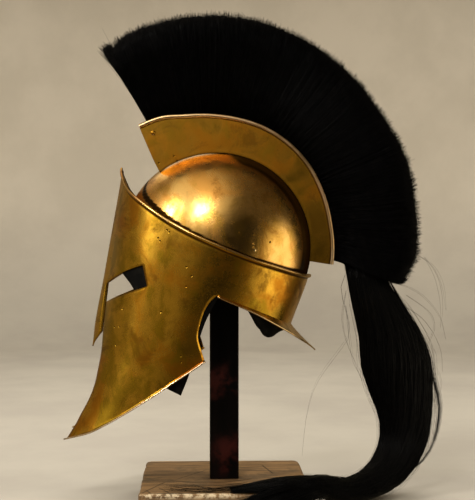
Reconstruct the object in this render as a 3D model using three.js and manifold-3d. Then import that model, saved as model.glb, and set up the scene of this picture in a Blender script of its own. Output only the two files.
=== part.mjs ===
// A brass Corinthian helmet with a black horsehair plume, on its plain wooden stand.
// Millimetres, +Z up. The helmet faces -Y and +X is the wearer's left.
// The origin is the middle of the stand's underside, on the axis of the post.

import * as THREE from 'three';
import { mergeVertices } from 'three/addons/utils/BufferGeometryUtils.js';
import Module from 'manifold-3d';

const wasm = await Module();
wasm.setup();

// Driving sizes
const GAP = 0.4;                       // clearance between neighbouring pieces
const BASE = { side: 200, thick: 22, corner: 9, edge: 3 };
const FLOOR = { wide: 900, deep: 100 };
const POST = { side: 35, chamfer: 1.5, top: 413.2 };
const BOWL = { y: -9.3, z: 304.6, long: 116.5, half: 95, belowEquator: 14, rings: 12, sides: 40 };
const BRASS_WALL = 1.5;
const LEATHER_WALL = 2;
const TILT = 15;                       // the helmet leans back on its post, degrees

// Mask sections, one row for each distance below the bowl's middle, in the tilted helmet frame:
// front and rear reach, half width, where the section is widest, and height of the ridge on the nose line
const MASK_SECTIONS = [
  { drop: -65, front: -136, rear: 118.5, half: 97.3, middle: 0, ridge: 2 },
  { drop: 0, front: -130.3, rear: 118.8, half: 97.3, middle: 0, ridge: 3 },
  { drop: 66, front: -124.6, rear: 113.2, half: 94, middle: -2, ridge: 6 },
  { drop: 124, front: -120, rear: 108, half: 89, middle: -8, ridge: 8 },
  { drop: 160, front: -115.5, rear: 104, half: 86.5, middle: -12, ridge: 7 },
  { drop: 203, front: -114, rear: 100, half: 84, middle: -16, ridge: 4 },
  { drop: 242, front: -120, rear: 96, half: 82, middle: -20, ridge: 2 },
  { drop: 275, front: -134, rear: 92, half: 81, middle: -24, ridge: 2 },
];
const RIDGE_SPREAD = 16;
const RIM_LIP = { out: 2.2, high: 3.2 };
const CHEEK_LIP = { out: 3, high: 4.5, mostOfRow: 0.7 };
// How far the neck guard flares out and down, beside the ear and at the back
const NECK_GUARD = { outEar: 3, outBack: 38, downEar: 2, downBack: 24, curl: 1.2 };

// Edges of the mask as [degrees round from the front, drop], a point where each bends
const RIM = [[0, -62.5], [13, -50], [24, -39], [43, -26], [65, -11.5], [80, -4.5], [99, 1.5],
  [116, 4.5], [148, 6], [180, 4]];
const NOSE_ROOT = [[0, 77.5], [9.2, 77.5]];
const NOSE_EDGE = [[9.2, 77.5], [11, 112], [12, 138]];
const NOSE_TIP = [[0, 157], [12, 138]];
const NOSE_LINE = [[0, 77.5], [0, 157]];
const EYE_TOP = [[9.2, 77.5], [30.5, 60.5], [50, 43.3]];
const EYE_REAR = [[50, 43.3], [56, 65.7]];
const EYE_BOTTOM = [[15.5, 98.5], [33, 87.2], [48, 73.8], [56, 65.7]];
const TEMPLE = [[50, 43.3], [98, 53.5]];
const JAW = [[56, 65.7], [93.4, 77]];
const EAR_UPPER = [[98, 53.5], [94.8, 64], [93.4, 77]];
const EAR_LOWER = [[93.4, 77], [93.9, 92.3], [95.6, 107.4], [101.5, 124], [104, 131]];
const CHEEK_FRONT = [[15.5, 98.5], [18.6, 133], [25.3, 175], [28, 193], [27.8, 213], [28, 246], [30.7, 267]];
const CHEEK_BOTTOM = [[30.7, 267], [46, 252], [56.7, 235.3], [67.5, 215], [88, 172.6], [104, 131]];
const NECK_CREASE = [[98, 53.5], [119, 59], [154.5, 66], [180, 67]];

// Columns and rows of facets over one half of the mask
const MASK_GRID = { nose: 3, eye: 7, temple: 6, neck: 13, band: 5, noseRows: 5, upperCheek: 3, cheek: 9, guard: 3 };

// Leather tongues, edges in the same terms as the mask, and their facets
const LINER_GRID = { cheek: 8, neck: 10, neckRows: 3 };
const CHEEK_LINER = {
  top: [[27, 56], [40, 38], [60, 30], [101, 36]],
  bottom: [[88, 173], [98.7, 177.5]],
  front: [[27, 56], [45.5, 73], [66, 112], [88, 173]],
  rear: [[101, 36], [97, 75], [96.5, 100], [98.8, 149], [98.7, 177.5]],
};
const NECK_LINER = {
  top: [[118, 32], [180, 32]],
  bottom: [[118, 58], [128, 74], [138, 87], [146, 87], [156, 78], [180, 72]],
};

// Crest box and plume, by the angle round the bowl's middle from the rear (0) over the top (90) to the front.
// The box's front end leans: its foot stands further forward on the bowl than its top
const CREST = {
  halfWidth: 23, wall: 1.5, floor: 1.5, rear: -8.8, frontTop: 122.6, frontFoot: 127.2, frontHigh: 59,
  bead: 2.2, beadHigh: 5, steps: 26, endPlate: 0.006,
};
const CREST_HEIGHT = [
  { angle: -9, outer: 143.5 }, { angle: 8, outer: 143 }, { angle: 26, outer: 146.4 }, { angle: 42, outer: 151.6 },
  { angle: 55, outer: 155 }, { angle: 67, outer: 157.4 }, { angle: 80, outer: 159 }, { angle: 91.5, outer: 161.3 },
  { angle: 103, outer: 165.2 }, { angle: 113, outer: 172 }, { angle: 123, outer: 175.5 },
];
const CREST_RIVET = { angle: 119.3, radius: 158, head: 2.6, high: 1.5 };
const BRUSH_HEIGHT = [
  { angle: -11, outer: 225 }, { angle: -7, outer: 235 }, { angle: -2, outer: 243 }, { angle: 6, outer: 247.5 },
  { angle: 22, outer: 254 }, { angle: 39, outer: 264.7 }, { angle: 47, outer: 271 }, { angle: 61, outer: 276.5 },
  { angle: 83, outer: 281 }, { angle: 100, outer: 282.3 }, { angle: 113, outer: 283 }, { angle: 117, outer: 279 },
];
const BRUSH = {
  locks: 22, from: -7.5, to: 115.8, rootHalf: 20.5, tipHalf: 36, ragged: 3, overlap: 0.66,
  backing: 14, backingEnds: 2.4, backingSteps: 22,
};

// The tail's middle line, with its half thickness across the helmet and its half width as seen from the side
const TAIL = [
  { x: 0, y: 158, z: 302, across: 16, along: 11 },
  { x: 0, y: 172, z: 274, across: 21, along: 20 },
  { x: 0, y: 187, z: 238, across: 25, along: 29 },
  { x: 0, y: 202, z: 202, across: 27, along: 36 },
  { x: 0, y: 212, z: 164, across: 28, along: 41 },
  { x: 0, y: 219, z: 132, across: 28, along: 38 },
  { x: 2, y: 224, z: 96, across: 27, along: 31 },
  { x: 8, y: 219, z: 62, across: 26, along: 27 },
  { x: 22, y: 200, z: 34, across: 25, along: 22 },
  { x: 44, y: 170, z: 19, across: 22, along: 16 },
  { x: 62, y: 136, z: 16, across: 20, along: 13 },
  { x: 78, y: 104, z: 26, across: 18, along: 11 },
  { x: 87, y: 68, z: 30, across: 16, along: 8 },
  { x: 91, y: 34, z: 27.5, across: 12, along: 5.5 },
  { x: 93, y: 4, z: 24.5, across: 6, along: 2.5 },
];
const TAIL_LOCKS = { count: 4, sides: 6, steps: 20, spread: 0.5, thick: 0.62, turns: 0.35, start: 0.125 };

const radians = THREE.MathUtils.degToRad;

// A smooth value read from a table: monotone cubic through the rows
function reading(rows, key, value) {
  const at = rows.map((row) => row[key]);
  const y = rows.map((row) => row[value]);
  const rise = at.slice(1).map((next, i) => (y[i + 1] - y[i]) / (next - at[i]));
  const slope = y.map((_, i) => {
    if (i === 0) return rise[0];
    if (i === rise.length) return rise[i - 1];
    return rise[i - 1] * rise[i] <= 0 ? 0 : 2 / (1 / rise[i - 1] + 1 / rise[i]);
  });
  return (s) => {
    let i = 0;
    while (i < rise.length - 1 && s > at[i + 1]) i += 1;
    const span = at[i + 1] - at[i];
    const t = THREE.MathUtils.clamp((s - at[i]) / span, 0, 1);
    const back = 1 - t;
    return y[i] * (1 + 2 * t) * back * back + y[i + 1] * t * t * (3 - 2 * t)
      + span * t * back * (slope[i] * back - slope[i + 1] * t);
  };
}

// Evenly spaced points on a smooth edge
function along(edge, count) {
  return new THREE.SplineCurve(edge.map(([u, v]) => new THREE.Vector2(u, v))).getSpacedPoints(count);
}

// Fills four edges with a grid of points, row by row from top to bottom
function fill(top, bottom, left, right) {
  const columns = top.length - 1;
  const rows = left.length - 1;
  return left.map((_, j) => top.map((__, i) => {
    const u = i / columns;
    const v = j / rows;
    const p = new THREE.Vector2();
    p.addScaledVector(top[i], 1 - v).addScaledVector(bottom[i], v);
    p.addScaledVector(left[j], 1 - u).addScaledVector(right[j], u);
    p.addScaledVector(top[0], -(1 - u) * (1 - v)).addScaledVector(top[columns], -u * (1 - v));
    p.addScaledVector(bottom[0], -(1 - u) * v).addScaledVector(bottom[columns], -u * v);
    return p;
  }));
}

// A closed triangle mesh from points and index triples, with shared corners merged
function meshOf(points, triangles) {
  const geometry = new THREE.BufferGeometry();
  const flat = points.flatMap((p) => [p.x, p.y, p.z]);
  geometry.setAttribute('position', new THREE.Float32BufferAttribute(flat, 3));
  geometry.setIndex(triangles.flat());
  return mergeVertices(geometry, 1e-3);
}

// Triangles of a grid of rows, each row holding the same number of points
function gridTriangles(rows, columns, first = 0) {
  const triangles = [];
  for (let j = 0; j < rows - 1; j += 1) {
    for (let i = 0; i < columns - 1; i += 1) {
      const a = first + j * columns + i;
      const b = a + columns;
      triangles.push([a, b, a + 1], [a + 1, b, b + 1]);
    }
  }
  return triangles;
}

// Joins grids of points into one sheet, dropping triangles that have shrunk to a line
function sheetOf(grids) {
  const points = [];
  const triangles = [];
  for (const grid of grids) {
    triangles.push(...gridTriangles(grid.length, grid[0].length, points.length));
    points.push(...grid.flat());
  }
  const sheet = meshOf(points, triangles);
  const index = sheet.index.array;
  const kept = [];
  for (let t = 0; t < index.length; t += 3) {
    const [a, b, c] = index.slice(t, t + 3);
    if (a !== b && b !== c && c !== a) kept.push(a, b, c);
  }
  sheet.setIndex(kept);
  return sheet;
}

// Adds the other half of a sheet, mirrored across the helmet's middle plane
function withMirror(grids) {
  const across = (p) => new THREE.Vector3(-p.x, p.y, p.z);
  const mirrored = grids.map((grid) => grid.map((row) => row.map(across).reverse()));
  return [...grids, ...mirrored];
}

// Gives a sheet its thickness on the inner side and closes it along its edges
function thicken(sheet, wall) {
  sheet.computeVertexNormals();
  const outer = sheet.attributes.position;
  const normal = sheet.attributes.normal;
  const count = outer.count;
  const points = [];
  for (const depth of [0, wall]) {
    for (let i = 0; i < count; i += 1) {
      const p = new THREE.Vector3().fromBufferAttribute(outer, i);
      points.push(p.addScaledVector(new THREE.Vector3().fromBufferAttribute(normal, i), -depth));
    }
  }
  const triangles = [];
  const edges = new Map();
  const index = sheet.index.array;
  for (let t = 0; t < index.length; t += 3) {
    const face = [index[t], index[t + 1], index[t + 2]];
    triangles.push(face, [face[0] + count, face[2] + count, face[1] + count]);
    face.forEach((from, k) => edges.set(`${from},${face[(k + 1) % 3]}`, [from, face[(k + 1) % 3]]));
  }
  for (const [from, to] of edges.values()) {
    if (edges.has(`${to},${from}`)) continue;
    triangles.push([to, from, from + count], [to, from + count, to + count]);
  }
  return meshOf(points, triangles);
}

// Solids for joining and cutting
function solidOf(geometry) {
  const bare = geometry.clone();
  bare.deleteAttribute('normal');
  bare.deleteAttribute('uv');
  const merged = mergeVertices(bare, 1e-4);
  return new wasm.Manifold(new wasm.Mesh({
    numProp: 3,
    vertProperties: Float32Array.from(merged.attributes.position.array),
    triVerts: Uint32Array.from(merged.index.array),
  }));
}

function geometryOf(solid) {
  const mesh = solid.getMesh();
  const geometry = new THREE.BufferGeometry();
  geometry.setAttribute('position', new THREE.BufferAttribute(Float32Array.from(mesh.vertProperties), 3));
  geometry.setIndex(new THREE.BufferAttribute(Uint32Array.from(mesh.triVerts), 1));
  return geometry;
}

// A closed solid through a row of rings with the same number of corners
function loft(rings) {
  const corners = rings[0].length;
  const points = rings.flat();
  const triangles = [];
  for (let j = 0; j < rings.length - 1; j += 1) {
    for (let i = 0; i < corners; i += 1) {
      const a = j * corners + i;
      const b = j * corners + ((i + 1) % corners);
      triangles.push([a, b, a + corners], [b, b + corners, a + corners]);
    }
  }
  const flat = rings[0].map((p) => new THREE.Vector2(p.flat.x, p.flat.y));
  for (const [a, b, c] of THREE.ShapeUtils.triangulateShape(flat, [])) {
    const last = (rings.length - 1) * corners;
    triangles.push([a, c, b], [last + a, last + b, last + c]);
  }
  return meshOf(points, triangles);
}

// A point of a ring, which keeps its place in the flat section for closing the ends
function ringPoint(position, u, v) {
  return Object.assign(position, { flat: { x: u, y: v } });
}

// The bowl's middle, and the point at an angle and radius round it in the plane x
const bowlMiddle = new THREE.Vector3(0, BOWL.y, BOWL.z);

function aroundBowl(x, angle, radius) {
  const turn = radians(angle);
  return new THREE.Vector3(x, Math.cos(turn) * radius, Math.sin(turn) * radius).add(bowlMiddle);
}

// The mask's outer surface in the tilted frame: half ellipses in front and behind, with a ridge on the nose line
const section = Object.fromEntries(['front', 'rear', 'half', 'middle', 'ridge']
  .map((column) => [column, reading(MASK_SECTIONS, 'drop', column)]));

function maskPoint(degrees, drop, outward = 0) {
  const turn = radians(degrees);
  const half = section.half(drop);
  const middle = section.middle(drop);
  const ridge = section.ridge(drop);
  const reach = degrees < 90 ? middle - section.front(drop) - ridge : section.rear(drop) - middle;
  const x = degrees >= 180 ? 0 : half * Math.sin(turn);
  const crown = degrees < 90 ? ridge * Math.exp(-((x / RIDGE_SPREAD) ** 2)) : 0;
  const way = new THREE.Vector2(Math.sin(turn) / half, -Math.cos(turn) / reach).normalize();
  const y = middle - reach * Math.cos(turn) - crown;
  return new THREE.Vector3(x + way.x * outward, y + way.y * outward, -drop);
}

const rimDrop = reading(RIM.map(([turn, drop]) => ({ turn, drop })), 'turn', 'drop');

// Brow, temples and neck wall, from the lipped rim down to the eyes, the ears and the neck crease
function maskBand(lower) {
  const rows = [lower.map((p) => maskPoint(p.x, rimDrop(p.x), RIM_LIP.out))];
  for (let j = 0; j <= MASK_GRID.band; j += 1) {
    rows.push(lower.map((p) => {
      const start = rimDrop(p.x) + RIM_LIP.high;
      return maskPoint(p.x, THREE.MathUtils.lerp(start, p.y, j / MASK_GRID.band));
    }));
  }
  return rows;
}

// The lower cheek, whose bottom edge is turned out in a lip
function maskCheek(top) {
  const flat = fill(top, along(CHEEK_BOTTOM, top.length - 1),
    along(CHEEK_FRONT, MASK_GRID.cheek), along(EAR_LOWER, MASK_GRID.cheek));
  const grid = flat.map((row) => row.map((p) => maskPoint(p.x, p.y)));
  const edge = grid.pop();
  const above = grid[grid.length - 1];
  const bottom = flat[flat.length - 1];
  grid.push(edge.map((p, i) => {
    const share = Math.min(CHEEK_LIP.mostOfRow, CHEEK_LIP.high / p.distanceTo(above[i]));
    return p.clone().lerp(above[i], share);
  }));
  grid.push(bottom.map((p) => maskPoint(p.x, p.y, CHEEK_LIP.out)));
  return grid;
}

// The neck guard flares out from the crease, most at the back
function maskGuard(crease) {
  const ear = NECK_CREASE[0][0];
  const rows = [];
  for (let j = 0; j <= MASK_GRID.guard; j += 1) {
    const u = j / MASK_GRID.guard;
    rows.push(crease.map((p) => {
      const back = ((p.x - ear) / (180 - ear)) ** 2;
      const out = THREE.MathUtils.lerp(NECK_GUARD.outEar, NECK_GUARD.outBack, back);
      const down = THREE.MathUtils.lerp(NECK_GUARD.downEar, NECK_GUARD.downBack, back);
      const point = maskPoint(p.x, p.y, out * u ** NECK_GUARD.curl);
      point.z -= down * u;
      return point;
    }));
  }
  return rows;
}

function buildMask() {
  const noseRoot = along(NOSE_ROOT, MASK_GRID.nose);
  const eyeTop = along(EYE_TOP, MASK_GRID.eye);
  const temple = along(TEMPLE, MASK_GRID.temple);
  const crease = along(NECK_CREASE, MASK_GRID.neck);
  const jaw = along(JAW, MASK_GRID.temple);
  const lower = [...noseRoot, ...eyeTop.slice(1), ...temple.slice(1), ...crease.slice(1)];
  const nose = fill(noseRoot, along(NOSE_TIP, MASK_GRID.nose),
    along(NOSE_LINE, MASK_GRID.noseRows), along(NOSE_EDGE, MASK_GRID.noseRows));
  const upperCheek = fill(temple, jaw, along(EYE_REAR, MASK_GRID.upperCheek), along(EAR_UPPER, MASK_GRID.upperCheek));
  const cheekTop = [...along(EYE_BOTTOM, MASK_GRID.eye), ...jaw.slice(1)];
  const onSurface = (grid) => grid.map((row) => row.map((p) => maskPoint(p.x, p.y)));
  const half = [maskBand(lower), onSurface(nose), onSurface(upperCheek), maskCheek(cheekTop), maskGuard(crease)];
  return thicken(sheetOf(withMirror(half)), BRASS_WALL);
}

// The bowl is an ellipsoid cap that ends a little below its equator, inside the mask
function buildBowl() {
  const lowest = Math.acos(-BOWL.belowEquator / BOWL.long);
  const rows = [];
  for (let j = 0; j <= BOWL.rings; j += 1) {
    const down = lowest * (j / BOWL.rings);
    const row = [];
    for (let i = 0; i <= BOWL.sides; i += 1) {
      const turn = (2 * Math.PI * (i % BOWL.sides)) / BOWL.sides;
      const ring = j === 0 ? 0 : Math.sin(down);
      row.push(new THREE.Vector3(BOWL.half * ring * Math.sin(turn), -BOWL.long * ring * Math.cos(turn),
        BOWL.long * Math.cos(down)));
    }
    rows.push(row);
  }
  return thicken(sheetOf([rows]), BRASS_WALL);
}

// Leather lies just inside the brass wall
const LINER_DEPTH = -(BRASS_WALL + GAP);

function buildCheekLiner() {
  const [top, bottom, front, rear] = ['top', 'bottom', 'front', 'rear']
    .map((edge) => along(CHEEK_LINER[edge], LINER_GRID.cheek));
  const grid = fill(top, bottom, front, rear).map((row) => row.map((p) => maskPoint(p.x, p.y, LINER_DEPTH)));
  return thicken(sheetOf([grid]), LEATHER_WALL);
}

function buildNeckLiner() {
  const top = along(NECK_LINER.top, LINER_GRID.neck);
  const bottom = along(NECK_LINER.bottom, LINER_GRID.neck);
  const rows = [];
  for (let j = 0; j <= LINER_GRID.neckRows; j += 1) {
    rows.push(top.map((p, i) => {
      const spot = p.clone().lerp(bottom[i], j / LINER_GRID.neckRows);
      return maskPoint(spot.x, spot.y, LINER_DEPTH);
    }));
  }
  return thicken(sheetOf(withMirror([rows])), LEATHER_WALL);
}

// Crest box: a channel swept over the bowl, closed at both ends
const crestOuter = reading(CREST_HEIGHT, 'angle', 'outer');
const bowlRadiusAt = (x) => BOWL.long * Math.sqrt(1 - (x / BOWL.half) ** 2);
const crestFloor = BOWL.long + GAP;
const crestInside = CREST.halfWidth - CREST.wall;

function crestSection(outer) {
  const seat = bowlRadiusAt(crestInside) + GAP;
  const { halfWidth, bead, beadHigh, floor } = CREST;
  const side = [
    [crestInside, crestFloor], [crestInside, seat], [halfWidth, seat], [halfWidth, outer - beadHigh],
    [halfWidth + bead, outer - beadHigh * 0.75], [halfWidth + bead, outer - beadHigh * 0.25],
    [halfWidth, outer], [crestInside, outer], [crestInside, crestFloor + floor],
  ];
  return [...side, ...side.map(([x, r]) => [-x, r]).reverse()];
}

// The angle of a place along the box, from its rear end (0) to its front end (1), at a radius
function crestAngle(place, radius) {
  const lean = (CREST.frontFoot - CREST.frontTop) * (1 - (radius - BOWL.long) / CREST.frontHigh);
  return THREE.MathUtils.lerp(CREST.rear, CREST.frontTop + lean, place);
}

function crestRing(place, corners) {
  return corners.map(([x, radius]) => ringPoint(aroundBowl(x, crestAngle(place, radius), radius), x, radius));
}

const crestTop = (place) => crestOuter(THREE.MathUtils.lerp(CREST.rear, CREST.frontTop, place));

// An end plate reaches into both side plates and the floor, and stops just under the bead's top
function crestEndPlate(from) {
  const edge = crestInside + CREST.wall / 2;
  const foot = crestFloor + CREST.floor / 2;
  return solidOf(loft([from, from + CREST.endPlate].map((place) => {
    const top = crestTop(place) - CREST.wall / 2;
    return crestRing(place, [[-edge, foot], [edge, foot], [edge, top], [-edge, top]]);
  })));
}

function buildCrestBox() {
  const rings = [];
  for (let i = 0; i <= CREST.steps; i += 1) {
    const place = i / CREST.steps;
    rings.push(crestRing(place, crestSection(crestTop(place))));
  }
  return geometryOf(solidOf(loft(rings)).add(crestEndPlate(0)).add(crestEndPlate(1 - CREST.endPlate)));
}

// Plume: a brush of locks on a backing in the crest box, and a tail of long locks from its rear end
const brushOuter = reading(BRUSH_HEIGHT, 'angle', 'outer');
const brushSeat = crestFloor + CREST.floor + GAP;

function brushBacking() {
  const { rootHalf, backing, backingEnds, backingSteps } = BRUSH;
  const corners = [[-rootHalf, brushSeat], [rootHalf, brushSeat],
    [rootHalf, brushSeat + backing], [-rootHalf, brushSeat + backing]];
  const rings = [];
  for (let i = 0; i <= backingSteps; i += 1) {
    const share = i / backingSteps;
    const angle = THREE.MathUtils.lerp(CREST.rear + backingEnds, CREST.frontTop - backingEnds, share);
    rings.push(corners.map(([x, radius]) => ringPoint(aroundBowl(x, angle, radius), x, radius)));
  }
  return solidOf(loft(rings));
}

// One lock of the brush: a flattened six-sided wedge that widens from the box to a rounded tip
function brushLock(index) {
  const step = (BRUSH.to - BRUSH.from) / (BRUSH.locks - 1);
  const angle = BRUSH.from + step * index;
  const rootAngle = THREE.MathUtils.clamp(angle, CREST.rear + step, CREST.frontTop - step);
  const outer = brushOuter(angle) - (index % 2) * BRUSH.ragged;
  const mouth = crestOuter(rootAngle);
  const rows = [
    { radius: brushSeat + 4, half: BRUSH.rootHalf, fan: 0, swell: 0.94 },
    { radius: mouth + 5, half: BRUSH.rootHalf, fan: 0, swell: 0.94 },
    { radius: THREE.MathUtils.lerp(mouth, outer, 0.55), half: BRUSH.tipHalf * 0.86, fan: 0.8, swell: 1 },
    { radius: outer - 12, half: BRUSH.tipHalf, fan: 1, swell: 1 },
    { radius: outer, half: BRUSH.tipHalf * 0.72, fan: 1, swell: 0.75 },
  ];
  const corners = [[-1, 0], [-0.7, 1], [0.7, 1], [1, 0], [0.7, -1], [-0.7, -1]];
  const rings = rows.map((row) => corners.map(([u, v]) => {
    const spot = THREE.MathUtils.lerp(rootAngle, angle, row.fan) - v * step * BRUSH.overlap * row.swell;
    return ringPoint(aroundBowl(u * row.half, spot, row.radius), u, v);
  }));
  return solidOf(loft(rings.map((ring) => ring.slice().reverse())));
}

const tailLine = new THREE.CatmullRomCurve3(TAIL.map((row) => new THREE.Vector3(row.x, row.y, row.z)));
const tailPlace = TAIL.map((row, i) => ({ ...row, place: i / (TAIL.length - 1) }));
const tailAcross = reading(tailPlace, 'place', 'across');
const tailAlong = reading(tailPlace, 'place', 'along');

// One lock of the tail winds slowly round the tail's middle line
function tailLock(index) {
  const { count, sides, steps, spread, thick, turns, start } = TAIL_LOCKS;
  const rings = [];
  for (let j = 0; j <= steps; j += 1) {
    const place = j / steps;
    const tangent = tailLine.getTangent(place);
    const sideways = new THREE.Vector3(1, 0, 0).addScaledVector(tangent, -tangent.x).normalize();
    const upright = new THREE.Vector3().crossVectors(tangent, sideways);
    const wind = 2 * Math.PI * (index / count + turns * place + start);
    const across = tailAcross(place);
    const inPlane = tailAlong(place);
    const centre = tailLine.getPoint(place)
      .addScaledVector(sideways, across * spread * Math.cos(wind))
      .addScaledVector(upright, inPlane * spread * Math.sin(wind));
    const ring = [];
    for (let i = 0; i < sides; i += 1) {
      const turn = (2 * Math.PI * (i + 0.5 * index)) / sides;
      const corner = centre.clone()
        .addScaledVector(sideways, across * thick * Math.cos(turn))
        .addScaledVector(upright, inPlane * thick * Math.sin(turn));
      ring.push(ringPoint(corner, Math.cos(turn), Math.sin(turn)));
    }
    rings.push(ring);
  }
  return solidOf(loft(rings));
}

function buildPlume() {
  let plume = brushBacking();
  for (let i = 0; i < BRUSH.locks; i += 1) plume = plume.add(brushLock(i));
  for (let i = 0; i < TAIL_LOCKS.count; i += 1) plume = plume.add(tailLock(i));
  const { wide, deep } = FLOOR;
  const floorRoom = new THREE.BoxGeometry(wide, wide, deep).translate(0, 0, GAP - deep / 2);
  return geometryOf(plume.subtract(solidOf(floorRoom)).subtract(solidOf(buildBase(GAP))));
}

// Stand
function roundedSquare(side, corner) {
  const h = side / 2;
  const shape = new THREE.Shape();
  shape.moveTo(h - corner, -h);
  shape.absarc(h - corner, -h + corner, corner, -Math.PI / 2, 0);
  shape.absarc(h - corner, h - corner, corner, 0, Math.PI / 2);
  shape.absarc(-h + corner, h - corner, corner, Math.PI / 2, Math.PI);
  shape.absarc(-h + corner, -h + corner, corner, Math.PI, Math.PI * 1.5);
  return shape;
}

// The base, or the room that it takes when a clearance is added all round
function buildBase(clearance = 0) {
  const { side, thick, corner, edge } = BASE;
  const bevel = edge + clearance;
  const geometry = new THREE.ExtrudeGeometry(roundedSquare(side - 2 * edge, corner - edge), {
    depth: thick - 2 * edge, bevelThickness: bevel, bevelSize: bevel, bevelSegments: 2, curveSegments: 3,
  });
  return geometry.translate(0, 0, edge);
}

function buildPost() {
  const { side, chamfer, top } = POST;
  const h = side / 2;
  const c = h - chamfer;
  const shape = new THREE.Shape([[h, -c], [h, c], [c, h], [-c, h], [-h, c], [-h, -c], [-c, -h], [c, -h]]
    .map(([x, y]) => new THREE.Vector2(x, y)));
  const foot = BASE.thick + GAP;
  return new THREE.ExtrudeGeometry(shape, { depth: top - foot, bevelEnabled: false }).translate(0, 0, foot);
}

function buildRivet(side) {
  const { head, high, angle, radius } = CREST_RIVET;
  const profile = [[0, 0], [head, 0], [head * 0.85, high * 0.6], [head * 0.45, high], [0, high * 1.1]];
  const dome = new THREE.LatheGeometry(profile.map(([x, y]) => new THREE.Vector2(x, y)), 10);
  dome.deleteAttribute('normal');
  dome.deleteAttribute('uv');
  const rivet = mergeVertices(dome, 1e-4).rotateZ(-side * Math.PI / 2);
  const seat = aroundBowl(side * (CREST.halfWidth + GAP), angle, radius);
  return rivet.translate(seat.x, seat.y, seat.z);
}

// Materials
const material = (color, metalness, roughness) => new THREE.MeshStandardMaterial({ color, metalness, roughness });
const brass = material(0xb08d3e, 1, 0.32);
const crestBrass = material(0x8f6d2c, 1, 0.42);
const horsehair = material(0x0b0a0a, 0, 0.55);
const leather = material(0x141210, 0, 0.6);
const darkWood = material(0x1d100c, 0, 0.4);
const brownWood = material(0x6b4a2c, 0, 0.6);

function piece(name, geometry, look) {
  const mesh = new THREE.Mesh(geometry, look);
  mesh.name = name;
  return mesh;
}

// The bowl, the mask and its leather lean back together on the post
const helmet = new THREE.Group();
helmet.position.copy(bowlMiddle);
helmet.rotation.x = -radians(TILT);
const leftLiner = buildCheekLiner();
const rightLiner = leftLiner.clone().scale(-1, 1, 1);
rightLiner.setIndex(Array.from(rightLiner.index.array).reverse());
helmet.add(piece('bowl', buildBowl(), brass));
helmet.add(piece('mask', buildMask(), brass));
helmet.add(piece('liner_cheek_left', leftLiner, leather));
helmet.add(piece('liner_cheek_right', rightLiner, leather));
helmet.add(piece('liner_neck', buildNeckLiner(), leather));

const part = new THREE.Group();
part.add(helmet);
part.add(piece('crest_box', buildCrestBox(), crestBrass));
part.add(piece('crest_rivet_left', buildRivet(1), crestBrass));
part.add(piece('crest_rivet_right', buildRivet(-1), crestBrass));
part.add(piece('plume', buildPlume(), horsehair));
part.add(piece('stand_post', buildPost(), darkWood));
part.add(piece('stand_base', buildBase(), brownWood));

export default part;
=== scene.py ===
# %% [markdown]
# A brass helmet with a black horsehair plume stands on a plain wooden post and board. Its solids are the
# fixed frame that this script dresses. The solids are right in size but made of flat facets, so the brass
# and the leather are made again here from the same formulas on finer grids, the plume gets its single
# hairs, and every piece gets its finish. Tables are in millimetres, as a maker would measure them, and MM
# turns them into metres at the last moment.

# %% Load the solids
import math

import bmesh
import bpy
import numpy as np
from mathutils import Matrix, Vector
from mathutils.geometry import tessellate_polygon


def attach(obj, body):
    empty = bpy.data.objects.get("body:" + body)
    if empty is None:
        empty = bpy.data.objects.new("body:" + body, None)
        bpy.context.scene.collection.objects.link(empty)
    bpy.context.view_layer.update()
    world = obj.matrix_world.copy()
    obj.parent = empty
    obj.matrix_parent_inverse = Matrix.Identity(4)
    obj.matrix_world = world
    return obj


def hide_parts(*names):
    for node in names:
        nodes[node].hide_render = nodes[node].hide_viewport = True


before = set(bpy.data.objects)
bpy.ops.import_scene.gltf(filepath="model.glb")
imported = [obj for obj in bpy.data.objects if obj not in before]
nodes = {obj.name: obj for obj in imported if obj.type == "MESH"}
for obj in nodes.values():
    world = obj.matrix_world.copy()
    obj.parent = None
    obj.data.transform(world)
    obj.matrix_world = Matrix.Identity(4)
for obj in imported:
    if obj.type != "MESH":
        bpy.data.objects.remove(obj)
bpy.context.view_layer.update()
scene = bpy.context.scene
MM = 0.001
print("solids:", ", ".join(sorted(nodes)))

# %% [markdown]
# A smith reads a pattern: a few measured rows, with a fair curve drawn through them. Blender could draw
# such curves as objects, but a function that answers for whole arrays at once is shorter and gives the
# same curve every time. `reading` is that fair curve. It never overshoots its rows, so a wall stays where
# it was measured.


# %% Fair curves through measured rows
def reading(rows, column=1):
    """Monotone cubic through the rows: each slope is the harmonic mean of the rises beside it."""
    at = np.array([row[0] for row in rows], float)
    y = np.array([row[column] for row in rows], float)
    rise = np.diff(y) / np.diff(at)
    slope = np.concatenate([rise[:1], np.zeros(len(rise) - 1), rise[-1:]])
    same_way = rise[:-1] * rise[1:] > 0
    total = np.where(same_way, rise[:-1] + rise[1:], 1)
    slope[1:-1] = np.where(same_way, 2 * rise[:-1] * rise[1:] / total, 0)

    def value(s):
        s = np.asarray(s, float)
        i = np.clip(np.searchsorted(at, s) - 1, 0, len(rise) - 1)
        span = at[i + 1] - at[i]
        t = np.clip((s - at[i]) / span, 0, 1)
        back = 1 - t
        ends = y[i] * (1 + 2 * t) * back**2 + y[i + 1] * t**2 * (3 - 2 * t)
        return ends + span * t * back * (slope[i] * back - slope[i + 1] * t)

    return value


def smooth_path(corners, fine=40):
    """Catmull-Rom curve through corners: cubic pieces whose slope is half the step between neighbours."""
    p = np.array(corners, float)
    padded = np.concatenate([p[:1], p, p[-1:]])
    t = np.linspace(0, len(p) - 1, fine * (len(p) - 1) + 1)
    i = np.minimum(t.astype(int), len(p) - 2)
    w = (t - i)[:, None]
    before, here, there, after = (padded[i + k] for k in range(4))
    out, into = (there - before) / 2, (after - here) / 2
    cube = 2 * here - 2 * there + out + into
    square = 3 * there - 3 * here - 2 * out - into
    return cube * w**3 + square * w**2 + out * w + here


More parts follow.
